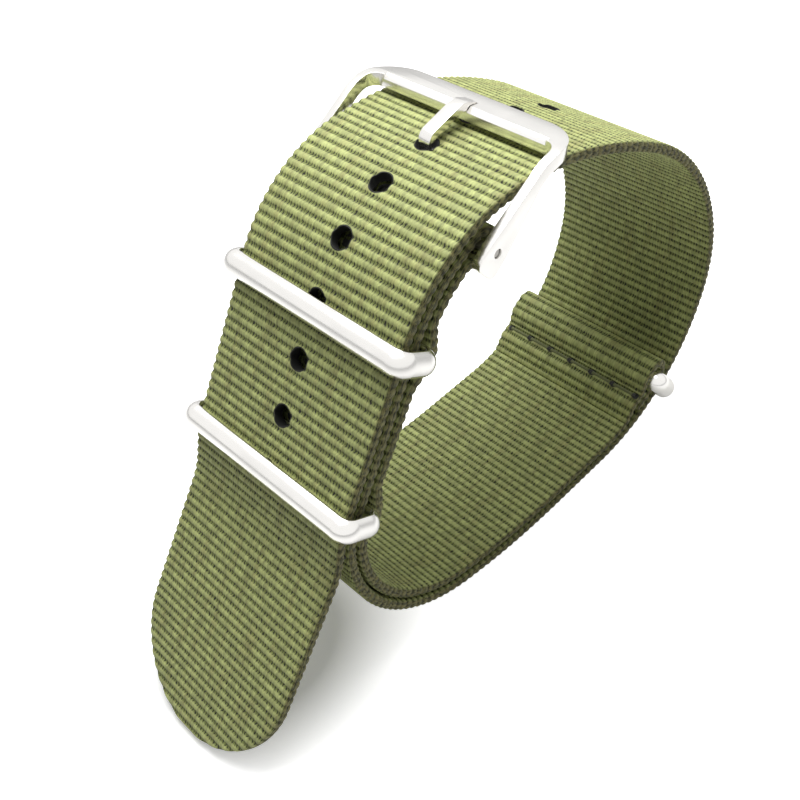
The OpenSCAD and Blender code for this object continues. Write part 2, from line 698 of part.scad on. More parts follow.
// One end of the pin, along +X
module pin_end() {
    translate([0, 0, shank_in]) cylinder(d = shank_d, h = flange_out - flange_t / 2 - shank_in);
    translate([0, 0, flange_out - flange_t]) cylinder(d = flange_d, h = flange_t);
    translate([0, 0, flange_out - flange_t / 2])
        cylinder(d = nose_d, h = nose_out - flange_out + flange_t / 2);
}
module spring_bar_tip_right() {
    color("dimgray") placed() on_pin() pin_end();
}
module spring_bar_tip_left() {
    color("dimgray") placed() on_pin() mirror([0, 0, 1]) pin_end();
}
// Helical spring between the pin's two ends: rings of points along the coil, joined into one tube
module spring_bar_spring() {
    steps = 8;
    sides = 6;
    half = shank_in - wire_d / 2 - eps;
    n = coil_turns * steps;
    pts = [for (i = [0:n], k = [0:sides - 1])
        let (a = 360 * i / steps, b = 360 * k / sides, r = coil_d / 2 + wire_d / 2 * cos(b))
        [r * cos(a), r * sin(a), -half + 2 * half * i / n + wire_d / 2 * sin(b)]];
    tube = [for (i = [0:n - 1], k = [0:sides - 1])
        let (p = i * sides + k, q = i * sides + (k + 1) % sides)
        each [[p, q, q + sides], [p, q + sides, p + sides]]];
    cap_in = [for (k = [1:sides - 2]) [0, k + 1, k]];
    cap_out = [for (k = [1:sides - 2]) [n * sides, n * sides + k, n * sides + k + 1]];
    color("goldenrod") placed() on_pin()
        polyhedron(pts, concat(tube, cap_in, cap_out), convexity = 6);
}

main_strap();
short_strap();
seam_buckle_fold();
seam_short_start();
seam_upper_pocket();
seam_lower_pocket_top();
seam_lower_pocket_end();
seam_end_fold();
keeper_ring_upper();
keeper_ring_lower();
end_ring();
buckle_frame();
buckle_tongue();
spring_bar_tube();
spring_bar_tip_right();
spring_bar_tip_left();
spring_bar_spring();
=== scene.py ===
"""Pass-through webbing watch strap, lying closed on a white table.

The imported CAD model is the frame. The woven bands, the sewing threads, the buckle and its tongue
are new surfaces worked out with numpy. The rings and the pin keep their CAD meshes and get their
finish here. Sizes in the classes are millimetres, and meshes are metres.
"""

import logging
from dataclasses import dataclass, field, replace
from enum import Enum

import bmesh
import bpy
import numpy as np
from mathutils import Matrix, Vector


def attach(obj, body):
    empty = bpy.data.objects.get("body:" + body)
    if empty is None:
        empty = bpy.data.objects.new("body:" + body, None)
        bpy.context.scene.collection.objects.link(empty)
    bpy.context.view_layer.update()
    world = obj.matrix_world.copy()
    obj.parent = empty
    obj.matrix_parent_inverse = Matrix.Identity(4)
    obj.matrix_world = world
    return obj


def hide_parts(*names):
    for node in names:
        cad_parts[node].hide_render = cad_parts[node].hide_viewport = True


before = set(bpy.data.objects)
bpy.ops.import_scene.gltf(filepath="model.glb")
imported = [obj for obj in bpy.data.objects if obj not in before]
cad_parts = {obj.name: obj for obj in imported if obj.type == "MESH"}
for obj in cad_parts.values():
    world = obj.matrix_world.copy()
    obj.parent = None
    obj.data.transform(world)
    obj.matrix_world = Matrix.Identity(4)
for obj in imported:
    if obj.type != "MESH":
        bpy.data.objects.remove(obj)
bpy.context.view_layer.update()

LOG = logging.getLogger("strap")
MM = 0.001
TINY = 1e-9
TURN = 360.0
# The webbing's thickness, its holes and the first one's distance from the tip, in millimetres
THICKNESS = 1.2
HOLE_DIAMETER = 2.2
HOLE_PITCH = 5.9
HOLE_FIRST = 32.5
# Length of a stitch in millimetres, and the turns of the thread's twist in it
STITCH = 3.4
STITCH_TURNS = 3
# Half of the way round a band in its UV map, where its back face mirrors its front face
HALF_TURN = 24.0


class Body(Enum):
    """The rigid bodies of the motion model."""

    STRAP = "strap"
    BUCKLE = "buckle"
    TONGUE = "tongue"


class Slot(Enum):
    """The record's material slots."""

    WEBBING = "webbing"
    THREAD = "thread"
    STEEL = "steel"
    SPRING_STEEL = "spring_steel"


def linear(hex_colour: str) -> tuple[float, float, float, float]:
    """Turns an sRGB hex colour into linear RGBA.

    Args:
        hex_colour: six hex digits, as in "8f9a5a".

    Returns:
        Linear red, green, blue and an alpha of 1.
    """
    c = np.array([int(hex_colour[i : i + 2], 16) for i in (0, 2, 4)]) / 255
    rgb = np.where(c <= 0.04045, c / 12.92, ((c + 0.055) / 1.055) ** 2.4)
    return (float(rgb[0]), float(rgb[1]), float(rgb[2]), 1.0)


def add(
    tree: bpy.types.NodeTree, kind: str, inputs: dict | None = None, **settings
) -> bpy.types.Node:
    """Adds one shader node with its settings and links.

    Args:
        tree: the node tree.
        kind: the node's type without the word ShaderNode.
        inputs: input name or number to a value, a node (its first output) or a socket.
        settings: the node's own properties.

    Returns:
        The new node.
    """
    new = tree.nodes.new("ShaderNode" + kind)
    for name, value in settings.items():
        setattr(new, name, value)
    for name, value in (inputs or {}).items():
        socket = new.inputs[name]
        if isinstance(value, bpy.types.Node):
            tree.links.new(value.outputs[0], socket)
        elif isinstance(value, bpy.types.NodeSocket):
            tree.links.new(value, socket)
        else:
            socket.default_value = value
    return new


def new_material(name: str) -> tuple[bpy.types.Material, bpy.types.NodeTree]:
    """Makes an empty node material.

    Args:
        name: the material's name.

    Returns:
        The material and its node tree, without nodes.
    """
    made = bpy.data.materials.new(name)
    made.use_nodes = True
    made.node_tree.nodes.clear()
    return made, made.node_tree


SMOOTH = {"interpolation_type": "SMOOTHSTEP"}


@dataclass(frozen=True)
class RibbedWebbing:
    """Polyamide (nylon 6.6) webbing, woven with a thick weft, dyed olive green.

    The thick weft makes ribs across the band. Fine warp threads run over the ribs. The valleys are
    painted darker, and the gaps between the threads are painted as rows of dark dots in the
    valleys, both as painted shade. Matt, with a soft sheen on the crests.
    Sizes are millimetres. The warp threads of the real webbing are 0.42 to 0.44 apart.
    """

    name: str = "woven_olive_nylon"
    crest: str = "adb474"
    # Painted shade: the colour towards which the rib valleys are painted
    valley: str = "646d36"
    faded: str = "938a58"
    # Painted shade: the near-black of the gaps between the warp threads
    gap_shade: str = "14160a"
    edge: str = "817a4c"
    # Knots and painted shade: the dark mottle of the selvedge
    edge_knot_and_gap_shade: str = "1c160c"
    # Melt and painted shade: the near-black of the punched holes and the needle holes
    melt_and_hole_shade: str = "0b0c08"
    thread_pitch: float = 0.38
    thread_sway: float = 0.5
    rib_pitch: float = HOLE_PITCH / 6
    half_turn: float = HALF_TURN
    selvedge_from: float = 10.75
    selvedge_to: float = 11.1
    hole_pitch: float = HOLE_PITCH
    hole_radius: float = HOLE_DIAMETER / 2
    melt_lip: float = 0.05
    melt_width: float = 0.14
    last_hole: float = 0.0
    first_hole: float = 0.0
    needle_row: float = 0.0
    stitch: float = STITCH
    needle_mark: float = 0.62
    bump_depth: float = 0.05

    def punched(
        self, tree: bpy.types.NodeTree, off_line: bpy.types.Node, along: bpy.types.NodeSocket
    ) -> bpy.types.Node:
        """The dark rims of the punched holes, from the hot punch's melt, painted near-black, which
        is also painted shade of the hole.

        The pitch folds the way along the band onto the distance d to the nearest hole. Outside
        the row of holes d grows steeply, so that no rim shows there. The distance to a hole's
        middle is then sqrt(off_line^2 + d^2).

        Args:
            tree: the node tree.
            off_line: distance from the band's middle line.
            along: distance along the band.

        Returns:
            A node that is 1 in a hole's dark melt rim and 0 elsewhere.
        """
        half, steep = self.hole_pitch / 2, 100.0
        from_last = add(tree, "Math", {0: along, 1: self.last_hole}, operation="SUBTRACT")
        folded = add(tree, "Math", {0: from_last, 1: half}, operation="PINGPONG")
        before = add(tree, "Math", {0: self.first_hole - half, 1: along}, operation="SUBTRACT")
        behind = add(tree, "Math", {0: from_last, 1: -half}, operation="ADD")
        outside = add(tree, "Math", {0: before, 1: behind}, operation="MAXIMUM")
        away = add(tree, "Math", {0: outside, 1: 0.0}, operation="MAXIMUM")
        near = add(tree, "Math", {0: away, 1: steep, 2: folded}, operation="MULTIPLY_ADD")
        square = add(tree, "Math", {0: near, 1: near}, operation="MULTIPLY")
        squares = add(tree, "Math", {0: off_line, 1: off_line, 2: square}, operation="MULTIPLY_ADD")
        distance = add(tree, "Math", {0: squares}, operation="SQRT")
        return add(tree, "MapRange", {
            0: distance, 1: self.hole_radius + self.melt_width,
            2: self.hole_radius + self.melt_lip}, **SMOOTH)

    def needled(
        self, tree: bpy.types.NodeTree, across: bpy.types.NodeSocket, along: bpy.types.NodeSocket
    ) -> bpy.types.Node:
        """The needle holes of the seam that shows, painted dark as painted shade where sqrt(dx^2 +
        dy^2) to one is small.

        Args:
            tree: the node tree.
            across: distance across the band.
            along: distance along the band.

        Returns:
            A node that is 1 in a needle hole and 0 elsewhere.
        """
        beside = add(tree, "Math", {0: across, 1: self.stitch / 2}, operation="PINGPONG")
        off_row = add(tree, "Math", {0: along, 1: self.needle_row}, operation="SUBTRACT")
        to_needle = add(tree, "CombineXYZ", {0: beside, 1: off_row})
        distance = add(tree, "VectorMath", {0: to_needle}, operation="LENGTH")
        return add(tree, "MapRange", {
            0: distance.outputs["Value"], 1: self.needle_mark, 2: self.needle_mark / 2}, **SMOOTH)

    def build(self) -> bpy.types.Material:
        """Builds the material. UV map weave holds millimetres across and along the band.

        Returns:
            The material.
        """
        made, tree = new_material(self.name)
        uv = add(tree, "UVMap", uv_map="weave")
        axes = add(tree, "SeparateXYZ", {0: uv})
        across, along = axes.outputs[0], axes.outputs[1]
        # Rib height from 0 in the valley to 1 on the crest: |sin(pi v / pitch)|
        rib_angle = add(tree, "Math", {0: along, 1: np.pi / self.rib_pitch}, operation="MULTIPLY")
        rib_wave = add(tree, "Math", {0: rib_angle}, operation="SINE")
        rib = add(tree, "Math", {0: rib_wave}, operation="ABSOLUTE")
        valley = add(tree, "MapRange", {0: rib, 1: 0.86, 2: 0.3}, **SMOOTH)
        # Warp threads: |cos(pi u / pitch)| is 1 on a thread and 0 in the gap beside it
        wobble = add(tree, "TexNoise", {"Vector": uv, "Scale": 1.7, "Detail": 2.0},
                     noise_dimensions="2D")
        sway = add(tree, "Math", {0: wobble, 1: self.thread_sway, 2: across},
                   operation="MULTIPLY_ADD")
        thread_angle = add(tree, "Math", {0: sway, 1: np.pi / self.thread_pitch},
                           operation="MULTIPLY")
        thread_wave = add(tree, "Math", {0: thread_angle}, operation="COSINE")
        thread = add(tree, "Math", {0: thread_wave}, operation="ABSOLUTE")
        # The gaps between the threads are painted dark as painted shade, deep in the valleys and
        # fading towards the crests
        gap_shade = add(tree, "MapRange", {0: thread, 1: 0.62, 2: 0.2}, **SMOOTH)
        reach = add(tree, "MapRange", {0: rib, 1: 0.9, 2: 0.45, 3: 0.14}, **SMOOTH)
        dots = add(tree, "Math", {0: gap_shade, 1: reach}, operation="MULTIPLY")
        # Each cell, one thread pitch by one rib, has its own value, as single floats do
        column = add(tree, "Math", {0: sway, 1: self.thread_pitch}, operation="SNAP")
        row = add(tree, "Math", {0: along, 1: self.rib_pitch}, operation="SNAP")
        cell = add(tree, "CombineXYZ", {0: column, 1: row})
        chance = add(tree, "TexWhiteNoise", {"Vector": cell}, noise_dimensions="2D")
        # Uneven yarn: speckle along the threads and slow dye variation
        stretched = add(tree, "Mapping", {0: uv, "Scale": (3.6, 1.1, 1.0)})
        yarn = add(tree, "TexNoise", {
            "Vector": stretched, "Scale": 1.0, "Detail": 3.0, "Roughness": 0.7},
            noise_dimensions="2D")
        streaks = add(tree, "Mapping", {0: uv, "Scale": (0.9, 0.16, 1.0)})
        dye = add(tree, "TexNoise", {"Vector": streaks, "Scale": 1.0, "Detail": 2.0},
                  noise_dimensions="2D")
        faded = add(tree, "MapRange", {0: dye, 1: 0.48, 2: 0.72, 4: 0.42})
        dyed = add(tree, "Mix", {0: faded, 6: linear(self.crest), 7: linear(self.faded)},
                   data_type="RGBA")
        # Painted shade: the rib valleys are painted darker, towards the valley colour
        valley_shade_share = add(tree, "MapRange", {0: valley, 4: 0.8})
        ground = add(tree, "Mix", {0: valley_shade_share, 6: dyed.outputs[2], 7: linear(self.valley)},
                     data_type="RGBA")
        # Painted shade: the thread gaps are painted near-black
        gap_shaded = add(tree, "Mix", {0: dots, 6: ground.outputs[2], 7: linear(self.gap_shade)},
                     data_type="RGBA")
        yarn_value = add(tree, "MapRange", {0: yarn, 1: 0.3, 2: 0.7, 3: 0.86, 4: 1.12})
        float_value = add(tree, "MapRange", {0: chance.outputs["Value"], 3: 0.8, 4: 1.2})
        value = add(tree, "Math", {0: yarn_value, 1: float_value}, operation="MULTIPLY")
        shaded = add(tree, "HueSaturation", {"Color": gap_shaded.outputs[2], "Value": value})
        # Both faces of the band fold onto one distance from the middle line. The selvedge, where
        # the weft turns back, is browner, with darker knots; its darkness and its dark mottle are
        # also painted shade of the gaps between the stacked layers
        off_line = add(tree, "Math", {0: across, 1: self.half_turn / 2}, operation="PINGPONG")
        side = add(tree, "MapRange", {
            0: off_line, 1: self.selvedge_from, 2: self.selvedge_to, 4: 0.8})
        tangle = add(tree, "TexNoise", {"Vector": uv, "Scale": 1.7, "Detail": 3.0},
                     noise_dimensions="2D")
        knots = add(tree, "MapRange", {0: tangle, 1: 0.42, 2: 0.58})
        selvedge_with_shade = add(tree, "Mix", {0: knots, 6: linear(self.edge_knot_and_gap_shade), 7: linear(self.edge)},
                     data_type="RGBA")
        woven = add(tree, "Mix", {0: side, 6: shaded, 7: selvedge_with_shade.outputs[2]}, data_type="RGBA")
        if self.needle_row:
            dark = self.needled(tree, across, along)
        else:
            dark = self.punched(tree, off_line, along)
        # The holes take the near-black colour: melt and painted shade in the punched holes, painted
        # shade in the needle holes
        colour = add(tree, "Mix", {0: dark, 6: woven.outputs[2], 7: linear(self.melt_and_hole_shade)},
                     data_type="RGBA")
        # Height in the bump: threads stand 0.04 mm proud of their gaps, less on the crests
        gap_share = add(tree, "MapRange", {0: valley, 3: 0.5})
        thread_rise = add(tree, "Math", {0: thread, 1: gap_share}, operation="MULTIPLY")
        rise = add(tree, "Math", {0: yarn, 1: 0.5, 2: thread_rise}, operation="MULTIPLY_ADD")
        bump = add(tree, "Bump", {
            "Height": rise, "Strength": 0.8, "Distance": self.bump_depth * MM})
        rough = add(tree, "MapRange", {0: rib, 3: 0.85, 4: 0.62})
        shader = add(tree, "BsdfPrincipled", {
            "Base Color": colour.outputs[2], "Roughness": rough, "Normal": bump,
            "Specular IOR Level": 0.35, "Sheen Weight": 0.08, "Sheen Roughness": 0.45, "IOR": 1.53})
        add(tree, "OutputMaterial", {"Surface": shader})
        return made


@dataclass(frozen=True)
class SewingThread:
    """Twisted polyester sewing thread, a shade darker than the webbing, with a faint gloss."""

    name: str = "twisted_polyester_thread"
    colour: str = "868c58"
    # Painted shade: the grooves between the fibres
    groove_shade: str = "4a4d2a"
    # Painted shade: where the thread dives into a needle hole
    needle_hole_shade: str = "0c0d06"
    turns_per_stitch: float = STITCH_TURNS
    fibre: float = 0.06

    def build(self) -> bpy.types.Material:
        """Builds the material. UV map ply holds the turn round the thread and the way along it.

        Returns:
            The material.
        """
        made, tree = new_material(self.name)
        uv = add(tree, "UVMap", uv_map="ply")
        # The thread is painted dark as painted shade where it dives into a needle hole, every six
        # half turns of the twist
        axes = add(tree, "SeparateXYZ", {0: uv})
        to_hole = add(tree, "Math", {0: axes.outputs[1], 1: self.turns_per_stitch * np.pi},
                      operation="PINGPONG")
        dive = add(tree, "MapRange", {0: to_hole, 1: 2.2, 2: 1.3}, **SMOOTH)
        # Fibres: the bands wind with the twist, about six grooves to a turn round the thread,
        # painted dark as painted shade
        wave = add(tree, "TexWave", {"Vector": uv, "Scale": 1.0, "Distortion": 1.2, "Detail": 1.0},
                   wave_type="BANDS", bands_direction="X")
        mixed = add(tree, "Mix", {0: wave, 6: linear(self.groove_shade), 7: linear(self.colour)},
                    data_type="RGBA")
        shaded_at_holes = add(tree, "Mix", {0: dive, 6: mixed.outputs[2], 7: linear(self.needle_hole_shade)},
                     data_type="RGBA")
        bump = add(tree, "Bump", {"Height": wave, "Strength": 0.7, "Distance": self.fibre * MM})
        shader = add(tree, "BsdfPrincipled", {
            "Base Color": shaded_at_holes.outputs[2], "Roughness": 0.6, "Normal": bump, "Sheen Weight": 0.2,
            "Sheen Roughness": 0.4, "IOR": 1.57})
        add(tree, "OutputMaterial", {"Surface": shader})
        return made


@dataclass(frozen=True)
class SatinSteel:
    """Stainless steel 304, drawn to a half round wire or bent strip, and satin polished.

    Fine polishing scratches run along X and break the highlights up a little, and handling leaves
    faint cloudy patches of other roughness.
    """

    name: str = "satin_polished_stainless_steel"
    colour: str = "f7f5f1"
    scratch: float = 0.03
    roughness: float = 0.2
    scratch_depth: float = 0.002

    def build(self) -> bpy.types.Material:
        """Builds the material on Object coordinates.

        Returns:
            The material.
        """
        made, tree = new_material(self.name)
        place = add(tree, "TexCoord")
        along_x = add(tree, "Mapping", {0: place.outputs["Object"], "Scale": (0.08, 1.0, 1.0)})
        # The noise's third octave is as fine as a scratch
        lines = add(tree, "TexNoise", {
            "Vector": along_x, "Scale": 1 / (self.scratch * MM * 4), "Detail": 3.0})
        cloud = add(tree, "TexNoise", {
            "Vector": place.outputs["Object"], "Scale": 260.0, "Detail": 3.0})
        rough = add(tree, "MapRange", {
            0: cloud, 1: 0.3, 2: 0.7, 3: self.roughness - 0.05, 4: self.roughness + 0.07})
        tint = add(tree, "MapRange", {0: cloud, 1: 0.35, 2: 0.7, 3: 1.0, 4: 0.94})
        base = add(tree, "HueSaturation", {"Color": linear(self.colour), "Value": tint})
        bump = add(tree, "Bump", {
            "Height": lines, "Strength": 0.35, "Distance": self.scratch_depth * MM})
        shader = add(tree, "BsdfPrincipled", {
            "Base Color": base, "Metallic": 1.0, "Roughness": rough, "Normal": bump})
        add(tree, "OutputMaterial", {"Surface": shader})
        return made


@dataclass(frozen=True)
class DrawnSpringSteel:
    """Spring steel, drawn and turned, bare: greyer than the polished pieces, with fine rings."""

    name: str = "drawn_spring_steel"
    colour: str = "b9b7b2"
    ring_pitch: float = 0.226
    ring_depth: float = 0.004

    def build(self) -> bpy.types.Material:
        """Builds the material on Object coordinates, with turning rings along X.

        Returns:
            The material.
        """
        made, tree = new_material(self.name)
        place = add(tree, "TexCoord")
        # At scale 1 the wave repeats every 2 pi / 20
        rings = add(tree, "TexWave", {
            "Vector": place.outputs["Object"], "Scale": np.pi / 10 / (self.ring_pitch * MM),
            "Distortion": 0.6}, wave_type="BANDS", bands_direction="X")
        bump = add(tree, "Bump", {
            "Height": rings, "Strength": 0.3, "Distance": self.ring_depth * MM})
        grain = add(tree, "TexNoise", {
            "Vector": place.outputs["Object"], "Scale": 900.0, "Detail": 2.0})
        rough = add(tree, "MapRange", {0: grain, 1: 0.3, 2: 0.7, 3: 0.3, 4: 0.42})
        tint = add(tree, "MapRange", {0: grain, 1: 0.3, 2: 0.7, 3: 0.93, 4: 1.03})
        base = add(tree, "HueSaturation", {"Color": linear(self.colour), "Value": tint})
        shader = add(tree, "BsdfPrincipled", {
            "Base Color": base, "Metallic": 1.0, "Roughness": rough, "Normal": bump})
        add(tree, "OutputMaterial", {"Surface": shader})
        return made


def ahead(heading: float) -> np.ndarray:
    """The direction of a heading in degrees, as Y and Z."""
    turn = np.radians(heading)
    return np.array([np.cos(turn), np.sin(turn)])


def away(heading: float) -> np.ndarray:
    """The direction away from the wrist at a heading in degrees, as Y and Z."""
    turn = np.radians(heading)
    return np.array([np.sin(turn), -np.cos(turn)])


@dataclass(frozen=True)
class Bend:
    """One bend of a route in the YZ plane: centre, signed radius, heading in and heading out.

    A radius of 0 is a plain point. Headings are degrees, and a positive radius turns left, which
    is towards the wrist.
    """

    y: float
    z: float
    radius: float
    heading_in: float
    heading_out: float

    def at(self, heading: float, depth: float = 0.0) -> np.ndarray:
        """The point at a heading, moved by a depth towards the wrist."""
        return np.array([self.y, self.z]) + (self.radius - depth) * away(heading)

    def turned(self, heading_in: float, heading_out: float) -> "Bend":
        """The same bend between two other headings."""
        return replace(self, heading_in=heading_in, heading_out=heading_out)

    def inside(self, depth: float) -> "Bend":
        """The same bend on a layer that lies a depth nearer to the wrist."""
        return replace(self, radius=self.radius - depth)

    def then(self, run: float, radius: float, heading: float) -> "Bend":
        """The bend that follows this one, after a straight run.

        Args:
            run: length of the straight run.
            radius: the next bend's signed radius.
            heading: the heading up to which it turns.

        Returns:
            The next bend.
        """
        place = self.at(self.heading_out, radius) + run * ahead(self.heading_out)
        return Bend(*place, radius, self.heading_out, heading)

    def led_by(self, radius: float, heading: float) -> "Bend":
        """The bend that runs into this one: a radius that turns from a heading."""
        return Bend(*self.at(self.heading_in, radius), radius, heading, self.heading_in)


def run_heading(first: Bend, second: Bend, near: float) -> float:
    """Heading of the straight run that touches two bends.

    It is the heading from centre to centre, turned by asin((r1 - r2) / distance).

    Args:
        first: the bend that the run leaves.
        second: the bend that it meets.
        near: a heading within half a turn of the answer.

    Returns:
        The heading in degrees.
    """
    dy, dz = second.y - first.y, second.z - first.z
    lean = np.arcsin((first.radius - second.radius) / np.hypot(dy, dz))
    heading = float(np.degrees(np.arctan2(dz, dy) + lean))
    return heading + TURN * round((near - heading) / TURN)


@dataclass
class Route:
    """A smooth line of straights and arcs, given by its bends, as in the CAD source."""

    bends: tuple[Bend, ...]
    start: np.ndarray = field(init=False)
    point: np.ndarray = field(init=False)
    heading: np.ndarray = field(init=False)
    curvature: np.ndarray = field(init=False)
    length: float = field(init=False)

    def __post_init__(self) -> None:
        """Turns the bends into segments: a straight run before each arc."""
        rows = np.array([[b.y, b.z, b.radius, b.heading_in, b.heading_out] for b in self.bends])
        radius, h_in, h_out = rows[:, 2], np.radians(rows[:, 3]), np.radians(rows[:, 4])
        first = rows[:, :2] + radius[:, None] * np.stack([np.sin(h_in), -np.cos(h_in)], 1)
        last = rows[:, :2] + radius[:, None] * np.stack([np.sin(h_out), -np.cos(h_out)], 1)
        arc = np.abs(radius * (h_out - h_in))
        leg = np.linalg.norm(first[1:] - last[:-1], axis=1)
        count = len(rows)
        lengths, self.point = np.zeros(2 * count - 1), np.zeros((2 * count - 1, 2))
        self.heading, self.curvature = np.zeros(2 * count - 1), np.zeros(2 * count - 1)
        lengths[0::2], lengths[1::2] = arc, leg
        self.point[0::2], self.point[1::2] = first, last[:-1]
        self.heading[0::2], self.heading[1::2] = h_in, h_out[:-1]
        turning = np.abs(radius) > TINY
        size = np.where(turning, np.abs(radius), 1)
        self.curvature[0::2] = np.where(turning, np.sign(h_out - h_in) / size, 0)
        self.start = np.concatenate([[0.0], np.cumsum(lengths)[:-1]])
        self.length = float(lengths.sum())

    def at(self, s: np.ndarray) -> tuple[np.ndarray, np.ndarray]:
        """Points and headings at distances s along the route.

        On an arc of curvature k the heading is h + k d, and the point is the integral of its
        direction: p + (sin(h + k d) - sin h, cos h - cos(h + k d)) / k.

        Args:
            s: distances from the start, in millimetres.

        Returns:
            Points (n, 2) as Y and Z, and headings (n) in radians.
        """
        i = np.clip(np.searchsorted(self.start, s, side="right") - 1, 0, len(self.start) - 1)
        d, h, k = s - self.start[i], self.heading[i], self.curvature[i]
        straight = np.abs(k) < TINY
        safe = np.where(straight, 1.0, k)
        turned = h + k * d
        dy = np.where(straight, d * np.cos(h), (np.sin(turned) - np.sin(h)) / safe)
        dz = np.where(straight, d * np.sin(h), (np.cos(h) - np.cos(turned)) / safe)
        return self.point[i] + np.stack([dy, dz], 1), turned

    def reach(self, index: int, heading: float) -> float:
        """Distance along the route at which one of its bends has a heading.

        Args:
            index: the bend's place in the route, below 0 if counted from the end.
            heading: the heading in degrees.

        Returns:
            The distance in millimetres.
        """
        bend = self.bends[index]
        arc = abs(np.radians(heading - bend.heading_in) * bend.radius)
        return float(self.start[2 * (index % len(self.bends))] + arc)


@dataclass(frozen=True)
class Seam:
    """Where a seam is: its CAD node, its place and heading, and the two faces it ties."""

    node: str
    y: float
    z: float
    heading: float
    low: float
    high: float


@dataclass
class StrapPlan:
    """The routes of both bands, worked out from the strap's own sizes as the CAD source does.

    The plan starts at the stretch that rests on the table. From there one bend follows another
    over the back and the crown to the tail, and up the front to the fold round the buckle's pin.
    The short band lies on the wrist side of the front layer. Sizes are millimetres and headings
    degrees, and a heading of 360 looks to the back.
    """

    thickness: float = THICKNESS
    layer_gap: float = 0.25
    tail_gap: float = 0.5
    rest_length: float = 8.5
    rest_radius: float = 78.0
    low_radius: float = 18.0
    keeper_radius: float = 11.5
    heel_radius: float = 20.0
    back_rise: float = 0.5
    back_radius: float = 18.0
    upper_radius: float = 29.0
    slope_radius: float = 58.0
    crown_radius: float = 24.0
    crown_run: float = 2.0
    shoulder_radius: float = 16.5
    keeper_heading: float = 229.0
    low_heading: float = 269.0
    rest_heading: float = 348.0
    heel_heading: float = 428.0
    back_heading: float = 464.0
    upper_heading: float = 508.0
    slope_heading: float = 521.0
    crown_heading: float = 540.0
    # The tail: its turn round the lower keeper, its flare, and its first hole and the tongue's
    flare_turn: float = 14.0
    flare_run: float = 2.0
    flare_radius: float = 10.0
    flare_from: float = 560.0
    halvings: int = 25
    tip_clear: float = 0.03
    hole_first: float = HOLE_FIRST
    tongue_hole: int = 7
    tongue_reach: float = 5.3
    # The fold round the pin's tube, and its seam
    tube_diameter: float = 1.5
    pin_clear: float = 0.05
    pin_turn: float = 14.9
    fold_gap: float = 0.2
    fold_seam: float = 3.9
    fold_half: float = 1.1
    hold_radius: float = 1.0
    # The short band's gap to the long band's end, smaller than the CAD's so that no slit shows
    butt_gap: float = 0.0125
    # The keepers, and the pockets of the short band that hold them
    upper_keeper: float = 11.8
    keeper_step: float = 16.6
    ring_width: float = 2.7
    ring_thickness: float = 1.2
    ring_clear: float = 0.25
    pocket_clear: float = 0.15
    pocket_half: float = 3.6
    seam_half: float = 4.3
    # The end ring's place as the heel's turn, and the end fold, along the heel from the ring's bar
    end_turn: float = 36.0
    end_seam: float = -3.6
    over_from: float = -0.6
    loop_from: float = 1.0
    seam_behind: float = 1.0
    seam_ahead: float = 0.5
    step_run: float = 3.0
    rise_radius: float = 0.8
    # The short band's bend that the end seam goes through, counted from its end
    seam_layer: int = -6
    # Worked out from the sizes: the step to the sewn layer, the middle, and the shared bends
    sewn: float = field(init=False)
    middle: float = field(init=False)
    rest: Bend = field(init=False)
    low: Bend = field(init=False)
    keeper: Bend = field(init=False)
    heel: Bend = field(init=False)
    front: Bend = field(init=False)
    front_run: tuple[Bend, ...] = field(init=False)
    long_band: tuple[Bend, ...] = field(init=False)

    def __post_init__(self) -> None:
        """Works out the long band's bends, from the resting stretch to both of its ends."""
        self.sewn = self.thickness + self.layer_gap
        rest_z = self.thickness / 2 + self.rest_radius
        self.rest = Bend(0.0, rest_z, self.rest_radius, self.rest_heading, TURN)
        self.low = self.rest.led_by(self.low_radius, self.low_heading)
        self.keeper = self.low.led_by(self.keeper_radius, self.keeper_heading)
        self.heel = self.rest.then(self.rest_length, self.heel_radius, self.heel_heading)
        back = self.heel.then(self.back_rise, self.back_radius, self.back_heading)
        upper = back.then(0.0, self.upper_radius, self.upper_heading)
        slope = upper.then(0.0, self.slope_radius, self.slope_heading)
        crown = slope.then(0.0, self.crown_radius, self.crown_heading)
        # The tail runs over the shoulder and the keepers, a pitch outside the front layer
        pitch = self.thickness + self.tail_gap
        shoulder = crown.then(self.crown_run, self.shoulder_radius, self.crown_heading)
        tail = self.keeper.inside(-pitch)
        leg = run_heading(shoulder, tail, self.crown_heading)
        shoulder = shoulder.turned(self.crown_heading, leg)
        tail = tail.turned(leg, leg + self.flare_turn)
        # The fold round the pin, under the shoulder
        radius = self.tube_diameter / 2 + self.pin_clear + self.thickness / 2
        pin_heading = self.crown_heading + self.pin_turn
        pin = shoulder.at(pin_heading, self.thickness + self.fold_gap + radius)
        fold = Bend(*pin, radius, 0.0, 0.0)
        front = leg - TURN
        fold_out = run_heading(fold, shoulder.inside(pitch), front)
        self.front = shoulder.inside(pitch).turned(fold_out, front)
        fold = fold.turned(fold_out, fold_out)
        front_keeper = self.keeper.turned(front, self.low_heading)
        self.front_run = (fold, self.front, front_keeper, self.low, self.rest, self.heel)
        start, hold, fold = self.fold_end(fold)
        flare, tip = self.flare(tail, shoulder.turned(pin_heading, leg))
        # The plan is centred from the tip's front edge to the back
        front_y = tip.y - self.thickness / 2 * abs(np.sin(np.radians(tip.heading_in)))
        back_y = back.y + self.back_radius + self.thickness / 2
        self.middle = (front_y + back_y) / 2
        self.long_band = self.placed(
            start, hold, fold, *self.front_run[1:], back, upper, slope, crown, shoulder, tail,
            flare, tip)

    def placed(self, *bends: Bend) -> tuple[Bend, ...]:
        """The bends, moved so that the strap's middle is at Y = 0."""
        return tuple(replace(bend, y=bend.y - self.middle) for bend in bends)

